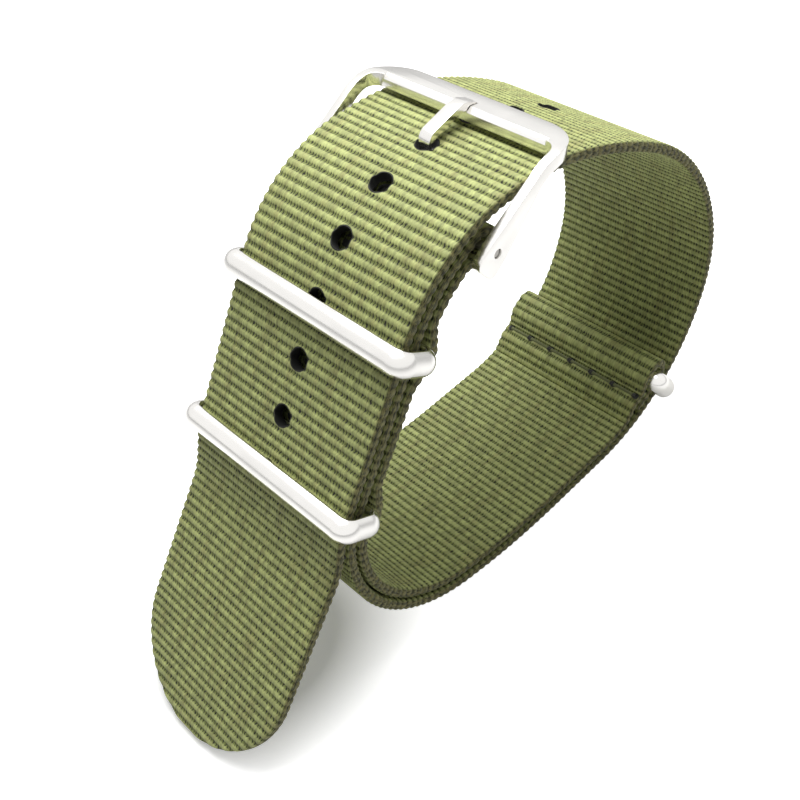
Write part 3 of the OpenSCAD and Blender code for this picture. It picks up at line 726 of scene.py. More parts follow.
    def station(self, distance: float, depth: float = 0.0) -> tuple[np.ndarray, float]:
        """A place on the front layer, moved by a depth towards the wrist.

        Args:
            distance: distance along the layer from the fold.
            depth: the depth.

        Returns:
            The point as Y and Z, and the heading in degrees.
        """
        points, headings = Route(self.front_run).at(np.array([distance]))
        heading = float(np.degrees(headings[0]))
        return points[0] - depth * away(heading), heading

    def fold_end(self, fold: Bend) -> tuple[Bend, Bend, Bend]:
        """The long band's sewn end, which lies flat at its seam, and the fold round the pin.

        Args:
            fold: the bend round the pin, with its heading out.

        Returns:
            The end, the bend that leaves the seam, and the whole fold.
        """
        seam, heading = self.station(self.fold_seam, self.sewn)
        heading -= TURN / 2
        flat = self.fold_half * ahead(heading)
        place = seam + flat + self.hold_radius * away(heading)
        hold = Bend(*place, -self.hold_radius, heading, heading)
        fold_in = run_heading(hold, fold, heading)
        start = Bend(*(seam - flat), 0.0, heading, heading)
        return start, hold.turned(heading, fold_in), fold.turned(fold_in, fold.heading_out)

    def flare(self, tail: Bend, past_pin: Bend) -> tuple[Bend, Bend]:
        """The bend that flares the tail out, and its tip, which comes down to the table.

        The tail's length follows from the hole that the tongue is in. The tip's heading is found
        by halving between two limits, so that its lower edge is tip_clear above the table.

        Args:
            tail: the tail's bend round the lower keeper.
            past_pin: the shoulder's bend from above the pin.

        Returns:
            The flare and the tip.
        """
        holes = self.hole_first + (self.tongue_hole - 1) * HOLE_PITCH
        left = holes - Route((past_pin, tail)).length - self.tongue_reach - self.flare_run
        high, low = self.flare_from, tail.heading_out
        for _ in range(self.halvings):
            heading = (high + low) / 2
            flare = tail.then(self.flare_run, -self.flare_radius, heading)
            tip = flare.at(heading) + (left - Route((flare,)).length) * ahead(heading)
            edge = tip[1] - self.thickness / 2 * abs(np.cos(np.radians(heading)))
            high, low = (heading, low) if edge > self.tip_clear else (high, heading)
        return flare, Bend(*tip, 0.0, heading, heading)

    def pocket(self, distance: float) -> tuple[Bend, Bend, Bend]:
        """The short band's three bends round the captive bar of a keeper.

        The bar's wire is a segment of a circle of radius (w^2 / 4 + t^2) / (2 t), and the bulge
        runs round that circle.

        Args:
            distance: the keeper's distance along the front layer.

        Returns:
            The bend into the bulge, the bulge, and the bend out of it.
        """
        thick = self.ring_thickness
        wire = (self.ring_width**2 / 4 + thick**2) / (2 * thick)
        bar_depth = self.thickness / 2 + self.ring_clear + thick / 2
        holds = []
        for side in (-self.pocket_half, self.pocket_half):
            place, heading = self.station(distance + side, self.sewn + self.hold_radius)
            holds.append(Bend(*place, self.hold_radius, heading, heading))
        place, heading = self.station(distance, bar_depth - wire + thick / 2)
        radius = wire + self.pocket_clear + self.thickness / 2
        bulge = Bend(*place, -radius, heading, heading)
        above, below = holds
        rise = run_heading(above, bulge, heading)
        fall = run_heading(bulge, below, heading)
        return (above.turned(above.heading_in, rise), bulge.turned(rise, fall),
                below.turned(fall, below.heading_out))

    def on_heel(self, distance: float) -> float:
        """Heading of the heel at a distance past the end ring's bar."""
        return TURN + self.end_turn + float(np.degrees(distance / self.heel_radius))

    def rise(self, run: tuple[float, float], depths: tuple[float, float]) -> tuple[Bend, Bend]:
        """The two bends by which the short band rises from one depth to another at the heel.

        Args:
            run: headings of the heel at which the rise starts and ends.
            depths: depths of the layer before and after it.

        Returns:
            The bend that starts the rise and the bend that ends it.
        """
        foot = self.heel.at(run[0], depths[0] + self.rise_radius)
        head = self.heel.at(run[1], depths[1] - self.rise_radius)
        first = Bend(*foot, self.rise_radius, run[0], run[0])
        second = Bend(*head, -self.rise_radius, run[1], run[1])
        between = run_heading(first, second, run[0])
        return first.turned(run[0], between), second.turned(between, run[1])

    def short_band(self) -> tuple[Bend, ...]:
        """The short band's bends: two pockets, the loop's bottom, and the fold for the end ring.

        Returns:
            The bends.
        """
        upper = self.pocket(self.upper_keeper)
        lower = self.pocket(self.upper_keeper + self.keeper_step)
        begin = self.station(self.fold_seam + self.fold_half + self.butt_gap)[1]
        double = 2 * self.sewn
        over = self.sewn + self.thickness + 2 * self.pocket_clear + self.ring_thickness
        top, turn = self.on_heel(self.over_from), self.on_heel(self.loop_from)
        flat = self.on_heel(self.end_seam - self.seam_behind)
        step = self.on_heel(self.end_seam - self.seam_behind - self.step_run)
        second = self.on_heel(self.end_seam + self.seam_ahead)
        radius = (over - self.sewn) / 2
        loop = Bend(*self.heel.at(turn, self.sewn + radius), -radius, turn, turn - TURN / 2)
        under = replace(self.heel, radius=self.sewn - self.heel_radius)
        return self.placed(
            self.front.inside(self.sewn).turned(begin, upper[0].heading_in), *upper, *lower,
            self.keeper.inside(self.sewn).turned(lower[2].heading_out, self.low_heading),
            self.low.inside(self.sewn), self.rest.inside(self.sewn),
            self.heel.inside(self.sewn).turned(TURN, step),
            *self.rise((step, flat), (self.sewn, double)),
            self.heel.inside(double).turned(flat, second),
            *self.rise((second, top), (double, over)),
            self.heel.inside(over).turned(top, turn), loop,
            under.turned(loop.heading_out, flat - TURN / 2))

    def end_seam_reach(self) -> float:
        """Distance of the end seam along the short band, on the layer that shows."""
        return Route(self.short_band()).reach(self.seam_layer, self.on_heel(self.end_seam))

    def seams(self) -> list[Seam]:
        """The six seams, from the fold at the pin to the end fold.

        Returns:
            The seams.
        """
        lower_keeper = self.upper_keeper + self.keeper_step
        distances = {
            "seam_buckle_fold": self.fold_seam,
            "seam_short_start": self.upper_keeper - self.seam_half,
            "seam_upper_pocket": self.upper_keeper + self.seam_half,
            "seam_lower_pocket_top": lower_keeper - self.seam_half,
            "seam_lower_pocket_end": lower_keeper + self.seam_half,
        }
        stations = [(node, *self.station(s), -self.thickness / 2) for node, s in distances.items()]
        heading = self.on_heel(self.end_seam)
        stations.append(
            ("seam_end_fold", self.heel.at(heading), heading, self.sewn - self.thickness / 2))
        two_layers = self.sewn + self.thickness
        return [
            Seam(node, place[0] - self.middle, place[1], heading, low, low + two_layers)
            for node, place, heading, low in stations
        ]


def grid_mesh(name: str, points: np.ndarray, uv: np.ndarray, uv_name: str) -> bpy.types.Object:
    """Makes an object from a grid of points, each row of which is a closed loop.

    Args:
        name: the object's name.
        points: (rows, columns, 3) in millimetres.
        uv: (rows, columns + 1, 2).
        uv_name: the UV map's name.

    Returns:
        The object, smooth shaded, with its ends capped.
    """
    rows, columns = points.shape[:2]
    i, j = np.meshgrid(np.arange(rows - 1), np.arange(columns), indexing="ij")
    i, j = i.ravel(), j.ravel()
    here, beside = i * columns + j, i * columns + (j + 1) % columns
    quads = np.stack([here, beside, beside + columns, here + columns], 1)
    corners = np.stack([uv[i, j], uv[i, j + 1], uv[i + 1, j + 1], uv[i + 1, j]], 1).reshape(-1, 2)
    caps = [np.arange(columns)[::-1], np.arange(columns) + (rows - 1) * columns]
    cap_uv = [uv[0, :columns][::-1], uv[rows - 1, :columns]]
    loops = np.concatenate([quads.ravel(), *caps])
    sizes = np.concatenate([np.full(len(quads), 4), [len(c) for c in caps]]).astype(int)
    mesh = bpy.data.meshes.new(name)
    mesh.vertices.add(rows * columns)
    mesh.vertices.foreach_set("co", (points.reshape(-1) * MM).astype(np.float32))
    mesh.loops.add(len(loops))
    mesh.loops.foreach_set("vertex_index", loops.astype(np.int32))
    mesh.polygons.add(len(sizes))
    mesh.polygons.foreach_set("loop_start", (np.cumsum(sizes) - sizes).astype(np.int32))
    layer = mesh.uv_layers.new(name=uv_name)
    layer.data.foreach_set("uv", np.concatenate([corners, *cap_uv]).reshape(-1).astype(np.float32))
    mesh.update(calc_edges=True)
    mesh.validate()
    mesh.shade_smooth()
    made = bpy.data.objects.new(name, mesh)
    bpy.context.collection.objects.link(made)
    return made


@dataclass
class RibbedBand:
    """A flat band of ribbed webbing that follows a route.

    Distance s runs along the band and a closed section runs round it. The half thickness is
    t(s) = t0 - relief (1 - |sin(pi s / pitch)|^power), so each rib is a round crest between two
    soft valleys, and the half width has the same wave with a smaller relief, which makes the
    selvedge a row of small bumps. Sizes are millimetres, and phase is where the first valley is.
    """

    bends: tuple[Bend, ...]
    name: str = "ribbed_band"
    width: float = 22.0
    thickness: float = THICKNESS
    rib_pitch: float = HOLE_PITCH / 6
    rib_power: float = 1.2
    rib_relief: float = 0.15
    edge_relief: float = 0.07
    edge_round: float = 0.28
    steps_per_rib: int = 8
    least_step: float = 0.004
    core_points: int = 9
    edge_points: int = 7
    tip_length: float = 0.0
    tip_steps: int = 40
    end_round: float = 0.25
    end_steps: int = 6
    end_share: float = 0.12
    half_turn: float = HALF_TURN
    phase: float = 0.0
    inset: float = 0.3
    inset_from: float = 45.0
    inset_to: float = 75.0

    def stations(self, length: float) -> np.ndarray:
        """Distances at which the band has a section, closer together at its ends.

        Args:
            length: the band's length.

        Returns:
            Sorted distances from 0 to length.
        """
        even = np.arange(0, length, self.rib_pitch / self.steps_per_rib)
        ends = self.end_round * (1 - np.cos(np.linspace(0, np.pi / 2, self.end_steps)))
        parts = [even, ends, length - ends]
        if self.tip_length:
            turn = np.linspace(0, np.pi / 2, self.tip_steps)
            parts.append(length - self.tip_length * (1 - np.cos(turn)))
        s = np.unique(np.round(np.concatenate(parts), 5))
        return s[np.concatenate([[True], np.diff(s) > self.least_step])]

    def section(self) -> np.ndarray:
        """The unit section: top from left to right, right edge, bottom, left edge.

        Returns:
            Array (n, 3) of each point's share of the core, share of the edge's round, and height.
        """
        core = np.sin(np.linspace(-np.pi / 2, np.pi / 2, self.core_points))
        angle = np.linspace(np.pi / 2, -np.pi / 2, self.edge_points + 2)[1:-1]
        top = np.stack([core, np.zeros_like(core), np.ones_like(core)], 1)
        right = np.stack([np.ones_like(angle), np.cos(angle), np.sin(angle)], 1)
        bottom = top[::-1] * [1, 1, -1]
        left = right[::-1] * [-1, -1, 1]
        return np.concatenate([top, right, bottom, left])

    def build(self) -> bpy.types.Object:
        """Builds the band's surface: centre line point + x across + height along the normal.

        A rounded tip has the half width w sqrt(1 - u^2), with u from 0 at its start to 1 at its
        end, and each cut end is blunted in the same way in its thickness.

        Returns:
            The object with UV map weave in millimetres.
        """
        route = Route(self.bends)
        s = self.stations(route.length)
        centre, heading = route.at(s)
        normal = np.stack([np.sin(heading), -np.cos(heading)], 1)
        wave = np.abs(np.sin(np.pi * (s - self.phase) / self.rib_pitch)) ** self.rib_power
        half_w = self.width / 2 - self.edge_relief * (1 - wave)
        half_t = self.thickness / 2 - self.rib_relief * (1 - wave)
        from_end = route.length - s
        if self.tip_length:
            u = np.clip(1 - from_end / self.tip_length, 0, 1)
            half_w = np.minimum(half_w, self.width / 2 * np.sqrt(1 - u * u))
        nearest = np.minimum(from_end, s)
        blunt = np.sqrt(1 - np.clip(1 - nearest / self.end_round, 0, 1) ** 2)
        half_t = half_t * np.maximum(blunt, self.end_share)
        unit = self.section()
        edge = np.minimum(self.edge_round, half_w)
        # The layers under the front lie a little back from its edge: x moves by -inset / 2 and
        # the half width shrinks by as much, so that only the near edge moves
        fade = (self.inset_to - s) / (self.inset_to - self.inset_from)
        under = self.inset / 2 * np.clip(fade, 0, 1)
        half_w = half_w - under
        x = unit[None, :, 0] * (half_w - edge)[:, None] + unit[None, :, 1] * edge[:, None]
        flat_x = x.copy()
        x = x - under[:, None]
        height = unit[None, :, 2] * half_t[:, None]
        yz = centre[:, None, :] + height[:, :, None] * normal[:, None, :]
        points = np.concatenate([x[:, :, None], yz], 2)
        # UV: x on the top, half_turn - x on the bottom, and evenly between them round the edges
        low = unit[:, 2] < 0
        turn = (1 - unit[:, 2]) / 2
        edge_u = flat_x + (self.half_turn - 2 * flat_x) * turn[None, :]
        flat_u = np.where(low[None, :], self.half_turn - flat_x, flat_x)
        is_edge = np.abs(unit[:, 1]) > 0
        across = np.where(is_edge[None, :], edge_u, flat_u)
        left = is_edge & (unit[:, 0] < 0)
        whole_turn = 2 * self.half_turn
        across[:, left] += np.where(low[left], 0, whole_turn)
        across = np.concatenate([across, across[:, :1] + whole_turn], 1)
        along = np.repeat((s - self.phase)[:, None], across.shape[1], 1)
        return grid_mesh(self.name, points, np.stack([across, along], 2), "weave")


@dataclass
class LongBand(RibbedBand):
    """The long band: fold round the pin, loop, tail with a rounded end, and punched holes."""

    name: str = "long_band_webbing"
    tip_length: float = 11.0
    hole_diameter: float = HOLE_DIAMETER
    hole_pitch: float = HOLE_PITCH
    hole_first: float = HOLE_FIRST
    hole_count: int = 10
    last_hole: float = field(init=False)
    punch_sides: int = 28
    sharp_degrees: float = 50.0

    def __post_init__(self) -> None:
        """Finds the hole next to the tip, and puts each hole's middle on the crest of a rib."""
        self.last_hole = Route(self.bends).length - self.hole_first
        self.phase = self.last_hole % self.rib_pitch - self.rib_pitch / 2

    def hole_places(self) -> np.ndarray:
        """Distances of the holes along the band, from the tip's side.

        Returns:
            Distances in millimetres.
        """
        return self.last_hole - self.hole_pitch * np.arange(self.hole_count)

    def punch(self, band: bpy.types.Object) -> None:
        """Cuts the holes: one cutter of all the round punches is subtracted from the band.

        Args:
            band: the band's object.
        """
        centre, heading = Route(self.bends).at(self.hole_places())
        sides, height = self.punch_sides, self.thickness
        turn = np.linspace(0, 2 * np.pi, sides, endpoint=False)
        forward = np.stack([np.cos(heading), np.sin(heading)], 1)
        normal = np.stack([np.sin(heading), -np.cos(heading)], 1)
        radius = self.hole_diameter / 2
        # Rings of each punch: x = r cos a, and r sin a along the band, at two heights
        rings = []
        for level in (-height, height):
            yz = centre[:, None, :] + radius * np.sin(turn)[None, :, None] * forward[:, None, :]
            yz = yz + level * normal[:, None, :]
            x = np.broadcast_to(radius * np.cos(turn), (len(centre), sides))
            rings.append(np.concatenate([x[:, :, None], yz], 2))
        points = np.stack(rings, 1).reshape(-1, 3) * MM
        faces = []
        for hole in range(len(centre)):
            base = hole * 2 * sides
            low, high = np.arange(sides) + base, np.arange(sides) + base + sides
            faces.append(low[::-1].tolist())
            faces.append(high.tolist())
            faces += np.stack([low, np.roll(low, -1), np.roll(high, -1), high], 1).tolist()
        mesh = bpy.data.meshes.new("punches")
        mesh.from_pydata(points.tolist(), [], faces)
        # The cut walls get the UV of a hole's middle, so the whole wall takes the near-black melt
        # colour, which is also painted shade inside the hole
        layer = mesh.uv_layers.new(name="weave")
        middle = [0.0, float(self.last_hole - self.phase)]
        layer.data.foreach_set("uv", np.tile(middle, len(layer.data)).astype(np.float32))
        cutter = bpy.data.objects.new("punches", mesh)
        bpy.context.collection.objects.link(cutter)
        outward(cutter)
        cut = band.modifiers.new("punch", "BOOLEAN")
        cut.operation, cut.solver, cut.object = "DIFFERENCE", "EXACT", cutter
        apply_modifiers(band)
        bpy.data.objects.remove(cutter)

    def make(self, finish: bpy.types.Material) -> bpy.types.Object:
        """Builds, punches and dresses the band.

        Args:
            finish: the webbing's material.

        Returns:
            The finished object.
        """
        band = self.build()
        self.punch(band)
        band.data.materials.clear()
        band.data.materials.append(finish)
        band.data.shade_smooth()
        band.data.set_sharp_from_angle(angle=np.radians(self.sharp_degrees))
        return band


@dataclass
class ShortBand(RibbedBand):
    """The short band with its two keeper pockets and the fold for the end ring."""

    name: str = "short_band_webbing"
    phase: float = 0.65
    end_seam: float = 0.0

    def make(self, finish: bpy.types.Material) -> bpy.types.Object:
        """Builds and dresses the band.

        Args:
            finish: the webbing's material.

        Returns:
            The finished object.
        """
        band = self.build()
        band.data.materials.append(finish)
        return band


def outward(obj: bpy.types.Object) -> None:
    """Recalculates an object's normals so that they point outwards.

    Args:
        obj: the object, a closed mesh.
    """
    work = bmesh.new()
    work.from_mesh(obj.data)
    bmesh.ops.recalc_face_normals(work, faces=work.faces)
    work.to_mesh(obj.data)
    work.free()


def apply_modifiers(obj: bpy.types.Object) -> None:
    """Replaces an object's mesh with the one that its modifiers give.

    Args:
        obj: the object.
    """
    graph = bpy.context.evaluated_depsgraph_get()
    mesh = bpy.data.meshes.new_from_object(obj.evaluated_get(graph), depsgraph=graph)
    old = obj.data
    obj.modifiers.clear()
    obj.data = mesh
    bpy.data.meshes.remove(old)
    mesh.name = obj.name


def plied_tube(
    name: str, line: np.ndarray, up: np.ndarray, radius: np.ndarray, twist: np.ndarray,
    sides: int = 10, pinch: float = 0.14
) -> bpy.types.Object:
    """A tube round a line, with two plies that twist along it.

    The section's radius is r (1 - pinch cos^2(a - twist)), which narrows the round at two sides.

    Args:
        name: the object's name.
        line: (n, 3) points of the centre line, in millimetres.
        up: a direction that is never along the line.
        radius: (n) radii.
        twist: (n) angles of the ply.
        sides: points round the tube.
        pinch: share by which a groove is deeper than a ply.

    Returns:
        The object, with UV map ply.
    """
    tangent = np.gradient(line, axis=0)
    tangent /= np.linalg.norm(tangent, axis=1, keepdims=True)
    across = np.cross(tangent, up)
    across /= np.linalg.norm(across, axis=1, keepdims=True)
    normal = np.cross(across, tangent)
    angle = np.linspace(0, 2 * np.pi, sides, endpoint=False)
    r = radius[:, None] * (1 - pinch * np.cos(angle[None, :] - twist[:, None]) ** 2)
    points = (line[:, None, :] + (r * np.cos(angle))[:, :, None] * across[:, None, :]
              + (r * np.sin(angle))[:, :, None] * normal[:, None, :])
    turns = np.linspace(0, 1, sides + 1)
    ply = 2 * turns[None, :] - twist[:, None] / np.pi
    return grid_mesh(name, points, np.stack(np.broadcast_arrays(ply, twist[:, None]), 2), "ply")


@dataclass
class StitchRow:
    """A lock stitch row across the webbing: one thread on each face.

    Each thread runs x = L (t - 1/2) and stands lift - dive (1 - sqrt|sin(pi n t)|) off the face,
    so that it lies on the face between two needle holes and dives into the webbing at each hole.
    It is thicker there: r (1 + swell cos^16(pi n t)).
    """

    seam: Seam
    thread: float = 0.38
    stitch: float = STITCH
    count: int = 6
    steps: int = 30
    turns: int = STITCH_TURNS
    dive: float = 0.2
    lift: float = 0.06
    swell: float = 0.7

    def line(self, face: float, outward_sign: float) -> np.ndarray:
        """The centre line of the thread on one face.

        Args:
            face: depth of the face from the long band's middle, towards the wrist.
            outward_sign: which way the face looks, 1 towards the wrist and -1 outwards.

        Returns:
            Points (n, 3) in millimetres.
        """
        t = np.linspace(0, 1, self.count * self.steps + 1)
        x = (t - 0.5) * self.count * self.stitch
        arch = np.sqrt(np.abs(np.sin(np.pi * self.count * t)))
        depth = face + outward_sign * (self.lift - self.dive * (1 - arch))
        h = np.radians(self.seam.heading)
        y = self.seam.y - depth * np.sin(h)
        z = self.seam.z + depth * np.cos(h)
        return np.stack([x, y, z], 1)

    def make(self, finish: bpy.types.Material) -> bpy.types.Object:
        """Builds both threads as one object.

        Args:
            finish: the thread's material.

        Returns:
            The object, named for its seam.
        """
        h = np.radians(self.seam.heading)
        up = np.array([0.0, -np.sin(h), np.cos(h)])
        name, made = self.seam.node + "_thread", []
        for face, sign in ((self.seam.low, -1.0), (self.seam.high, 1.0)):
            line = self.line(face, sign)
            twist = np.linspace(0, 2 * np.pi * self.count * self.turns, len(line))
            radius = self.thread / 2 * (1 + self.swell * np.cos(twist / (2 * self.turns)) ** 16)
            made.append(plied_tube(name, line, up, radius, twist))
        return joined(made, name, finish)


def joined(
    parts: list[bpy.types.Object], name: str, finish: bpy.types.Material
) -> bpy.types.Object:
    """Joins objects into one.

    Args:
        parts: the objects.
        name: the result's name.
        finish: its material.

    Returns:
        The joined object.
    """
    bpy.ops.object.select_all(action="DESELECT")
    for part in parts:
        part.select_set(True)
    bpy.context.view_layer.objects.active = parts[0]
    bpy.ops.object.join()
    parts[0].name = parts[0].data.name = name
    parts[0].data.materials.clear()
    parts[0].data.materials.append(finish)
    return parts[0]


@dataclass
class PinBuckle:
    """The bent frame and the tongue of the buckle. Sizes are millimetres, and angles degrees."""

    frame_bevel: float = 0.34
    tongue_bevel: float = 0.3
    bevel_steps: int = 4
    merge: float = 0.002
    flat_angle: float = 2.0
    edge_angle: float = 32.0
    tongue_half: float = 0.72
    tongue_core: float = 0.45
    hole_top: float = 49.5
    knee_top: float = 50.3

    def polished(self, node: str, bevel: float, finish: bpy.types.Material) -> bpy.types.Object:
        """A merged copy of a CAD node with its edges rounded, as polishing leaves them.

        Args:
            node: the node's name.
            bevel: width of the rounding in millimetres.
            finish: the steel.

        Returns:
            The new object.
        """
        made = bpy.data.objects.new(node + "_polished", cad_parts[node].data.copy())
        bpy.context.collection.objects.link(made)
        work = bmesh.new()
        work.from_mesh(made.data)
        bmesh.ops.remove_doubles(work, verts=work.verts, dist=self.merge * MM)
        bmesh.ops.dissolve_limit(work, angle_limit=np.radians(self.flat_angle),
                                 verts=work.verts, edges=work.edges, delimit=set())
        work.to_mesh(made.data)
        work.free()
        if node == "buckle_tongue":
            self.widen(made)
        edges = made.modifiers.new("edges", "BEVEL")
        edges.width, edges.segments = bevel * MM, self.bevel_steps
        edges.limit_method, edges.angle_limit = "ANGLE", np.radians(self.edge_angle)
        apply_modifiers(made)
        made.data.shade_smooth()
        made.data.materials.clear()
        made.data.materials.append(finish)
        return made

    def widen(self, tongue: bpy.types.Object) -> None:
        """Widens the tongue above the strap, as it is flattened there.

        The half width is a + (tongue_half - a) t, with t from 0 at the hole to 1 at the knee.
        Points within tongue_core of the middle stay where they are.

        Args:
            tongue: the tongue's object.
        """
        points = np.empty(len(tongue.data.vertices) * 3, np.float32)
        tongue.data.vertices.foreach_get("co", points)
        points = points.reshape(-1, 3)
        rise = self.knee_top - self.hole_top
        t = np.clip((points[:, 2] / MM - self.hole_top) / rise, 0, 1)
        size = np.abs(points[:, 0])
        wide = np.maximum(size, size + (self.tongue_half * MM - size) * t)
        wide = np.where(size > self.tongue_core * MM, wide, size)
        points[:, 0] = np.sign(points[:, 0]) * wide
        tongue.data.vertices.foreach_set("co", points.ravel())
        tongue.data.update()


@dataclass
class Studio:
    """Floor, lamp, world and camera, as in the photograph.

    The camera was worked out from the strap's straight edges and its two resting places, and then
    fitted to its outline and holes. Its position is in millimetres, and the lamp is in metres.
    """

    position: tuple[float, float, float] = (58.229, -48.602, 99.817)
    looks: tuple[float, float, float] = (-0.54384, 0.4242, -0.72408)
    up: tuple[float, float, float] = (-0.46086, 0.5701, 0.68014)
    focal_pixels: float = 1000.6
    frame_pixels: float = 800.0
    sensor: float = 36.0
    lamp_place: tuple[float, float, float] = (-0.03, 0.024, 0.19)
    lamp_aim: tuple[float, float, float] = (0.0, 0.005, 0.02)
    lamp_size: float = 0.12
    lamp_watts: float = 0.33
    fill_from: tuple[float, float, float] = (-0.5, 0.38, 0.78)
    fill_least: float = 0.03
    fill_most: float = 0.95
    band_height: float = 0.04
    band_grey: float = 0.55
    table_half: float = 3.0
    table_grey: float = 0.86
    glow_place: tuple[float, float, float] = (0.154, 1.65, 0.0)
    glow_scale: tuple[float, float, float] = (77.0, 59.0, 1.0)
    glow_least: float = 0.2
    glow_held_back: float = 0.78
    white: tuple[float, float, float, float] = (1.0, 1.0, 1.0, 1.0)

    def camera(self) -> None:
        """Makes the camera and sets it as the scene's."""
        data = bpy.data.cameras.new("camera")
        data.sensor_width = self.sensor
        data.lens = self.focal_pixels / self.frame_pixels * self.sensor
        data.clip_start, data.clip_end = 0.01, 20.0
        made = bpy.data.objects.new("camera", data)
        bpy.context.collection.objects.link(made)
        back = -Vector(self.looks).normalized()
        right = Vector(self.up).cross(back).normalized()
        up = back.cross(right)
        made.matrix_world = Matrix.Translation(Vector(self.position) * MM) @ Matrix(
            (right, up, back)).transposed().to_4x4()
        bpy.context.scene.camera = made

    def lamp(self) -> None:
        """Adds the soft key lamp, a square area lamp that looks at the strap."""
        data = bpy.data.lights.new("soft_key", "AREA")
        data.shape, data.size, data.energy = "SQUARE", self.lamp_size, self.lamp_watts
        made = bpy.data.objects.new("soft_key", data)
        bpy.context.collection.objects.link(made)
        made.location = self.lamp_place
        aim = Vector(self.lamp_aim) - Vector(self.lamp_place)
        made.rotation_euler = aim.to_track_quat("-Z", "Y").to_euler()

    def world(self) -> None:
        """A white room for the camera, with a dim fill that comes mostly from above."""
        made = bpy.data.worlds.new("white_room")
        bpy.context.scene.world = made
        made.use_nodes = True
        tree = made.node_tree
        tree.nodes.clear()
        path = add(tree, "LightPath")
        way = add(tree, "TexCoord")
        axes = add(tree, "SeparateXYZ", {0: way.outputs["Generated"]})
        facing = add(tree, "VectorMath", {0: way.outputs["Generated"], 1: self.fill_from},
                     operation="DOT_PRODUCT")
        fill = add(tree, "MapRange", {
            0: facing.outputs["Value"], 1: 0.25, 2: 0.98, 3: self.fill_least, 4: self.fill_most})
        # Reflections see one soft grey band above the horizon, as of a wall behind the lamp
        from_band = add(tree, "Math", {0: axes.outputs[2], 1: self.band_height},
                        operation="SUBTRACT")
        off_band = add(tree, "Math", {0: from_band}, operation="ABSOLUTE")
        mirrored = add(tree, "MapRange", {
            0: off_band, 1: 0.02, 2: 0.16, 3: self.band_grey}, **SMOOTH)
        bounced = add(tree, "Mix", {0: path.outputs["Is Glossy Ray"], 2: fill, 3: mirrored})
        strength = add(tree, "Mix", {0: path.outputs["Is Camera Ray"], 2: bounced, 3: 1.0})
        shade = add(tree, "Background", {"Color": self.white, "Strength": strength})
        add(tree, "OutputWorld", {"Surface": shade})

    def table(self) -> None:
        """A white table top that keeps the strap's soft shadow.

        It is matt, and for the camera and in reflections it glows: least at the strap, where it
        keeps its shadow, and 1 outside an ellipse round the strap, where it is white.
        """
        h = self.table_half
        mesh = bpy.data.meshes.new("table_top")
        mesh.from_pydata([(-h, -h, 0), (h, -h, 0), (h, h, 0), (-h, h, 0)], [], [(0, 1, 2, 3)])
        made = bpy.data.objects.new("table_top", mesh)
        bpy.context.collection.objects.link(made)
        finish, tree = new_material("white_table_top")
        path = add(tree, "LightPath")
        matt = add(tree, "BsdfDiffuse", {"Color": (*[self.table_grey] * 3, 1.0)})
        place = add(tree, "TexCoord")
        moved = add(tree, "Mapping", {
            0: place.outputs["Object"], "Location": self.glow_place, "Scale": self.glow_scale})
        reach = add(tree, "VectorMath", {0: moved}, operation="LENGTH")
        strength = add(tree, "MapRange", {
            0: reach.outputs["Value"], 1: 0.6, 2: 1.3, 3: self.glow_least})
        glow = add(tree, "Emission", {"Color": self.white, "Strength": strength})
        both = add(tree, "AddShader", {0: matt, 1: glow})
        # The camera sees the whole glow, and reflections get the share that isn't held back
        glossy = path.outputs["Is Glossy Ray"]
        seen = add(tree, "Math", {0: path.outputs["Is Camera Ray"], 1: glossy}, operation="MAXIMUM")
        held_back = add(tree, "Math", {0: glossy, 1: self.glow_held_back}, operation="MULTIPLY")
        share = add(tree, "Math", {0: seen, 1: held_back}, operation="SUBTRACT")
        shade = add(tree, "MixShader", {0: share, 1: matt, 2: both})
        add(tree, "OutputMaterial", {"Surface": shade})
        mesh.materials.append(finish)

    def build(self) -> None:
        """Builds the whole studio."""
        self.camera()
        self.world()
        self.table()
        self.lamp()
        bpy.context.scene.view_settings.view_transform = "Standard"


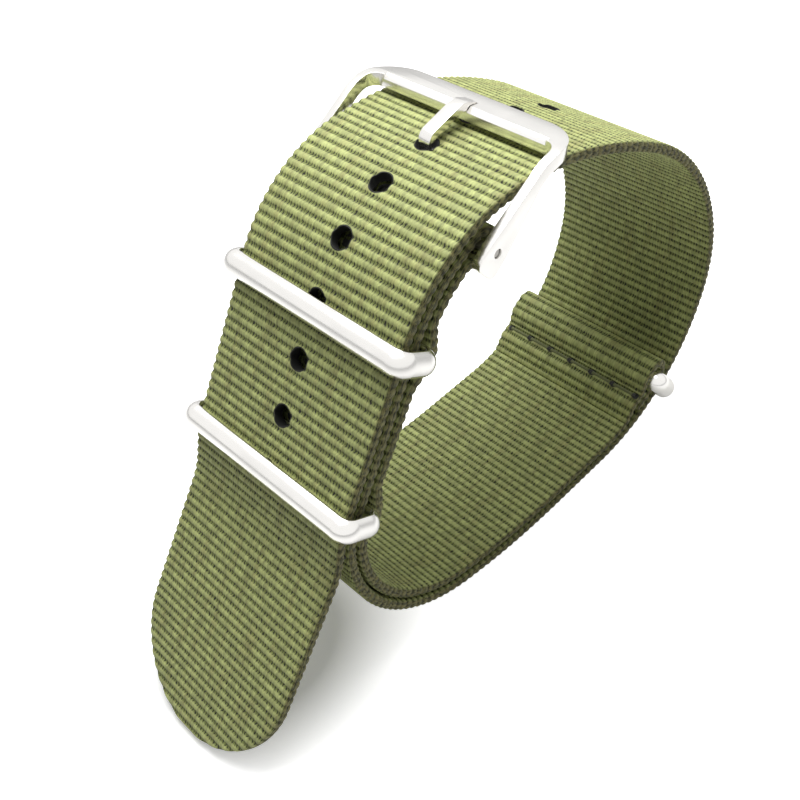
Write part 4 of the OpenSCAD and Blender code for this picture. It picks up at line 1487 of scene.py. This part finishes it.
def hold(piece: bpy.types.Object, body: Body, slot: Slot, *nodes: str) -> None:
    """Ties a piece to its body and hides the CAD nodes it stands for.

    Args:
        piece: the piece.
        body: the body that it rides on.
        slot: the record's slot of its finish; not used.
        nodes: the CAD nodes that it replaces.
    """
    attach(piece, body.value)
    if nodes:
        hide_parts(*nodes)
    LOG.info("%s: %d vertices", piece.name, len(piece.data.vertices))


def dress(node: str, finish: bpy.types.Material) -> None:
    """Gives a CAD node that keeps its mesh a better material.

    Args:
        node: the node's name.
        finish: the material.
    """
    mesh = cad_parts[node].data
    mesh.materials.clear()
    mesh.materials.append(finish)
    LOG.info("%s keeps its CAD mesh", node)


def main() -> None:
    """Builds the studio and each sub-assembly in order."""
    logging.basicConfig(level=logging.INFO, format="%(name)s %(message)s")
    Studio().build()
    plan = StrapPlan()
    maker = LongBand(plan.long_band)
    places = maker.hole_places() - maker.phase
    webbing = RibbedWebbing(last_hole=float(places[0]), first_hole=float(places[-1])).build()
    thread = SewingThread().build()
    steel, spring_steel = SatinSteel().build(), DrawnSpringSteel().build()

    long_band = maker.make(webbing)
    hold(long_band, Body.STRAP, Slot.WEBBING, "main_strap")
    sewn = ShortBand(plan.short_band(), end_seam=plan.end_seam_reach())
    short_band = sewn.make(RibbedWebbing(
        name="woven_olive_nylon_sewn", needle_row=sewn.end_seam - sewn.phase).build())
    hold(short_band, Body.STRAP, Slot.WEBBING, "short_strap")

    for seam in plan.seams():
        hold(StitchRow(seam).make(thread), Body.STRAP, Slot.THREAD, seam.node)

    buckle = PinBuckle()
    for node, bevel, body in (
        ("buckle_frame", buckle.frame_bevel, Body.BUCKLE),
        ("buckle_tongue", buckle.tongue_bevel, Body.TONGUE),
    ):
        hold(buckle.polished(node, bevel, steel), body, Slot.STEEL, node)
    for node in ("keeper_ring_upper", "keeper_ring_lower", "end_ring"):
        dress(node, steel)
    for part in ("tube", "tip_right", "tip_left", "spring"):
        dress("spring_bar_" + part, spring_steel)


if __name__ == "__main__":
    main()
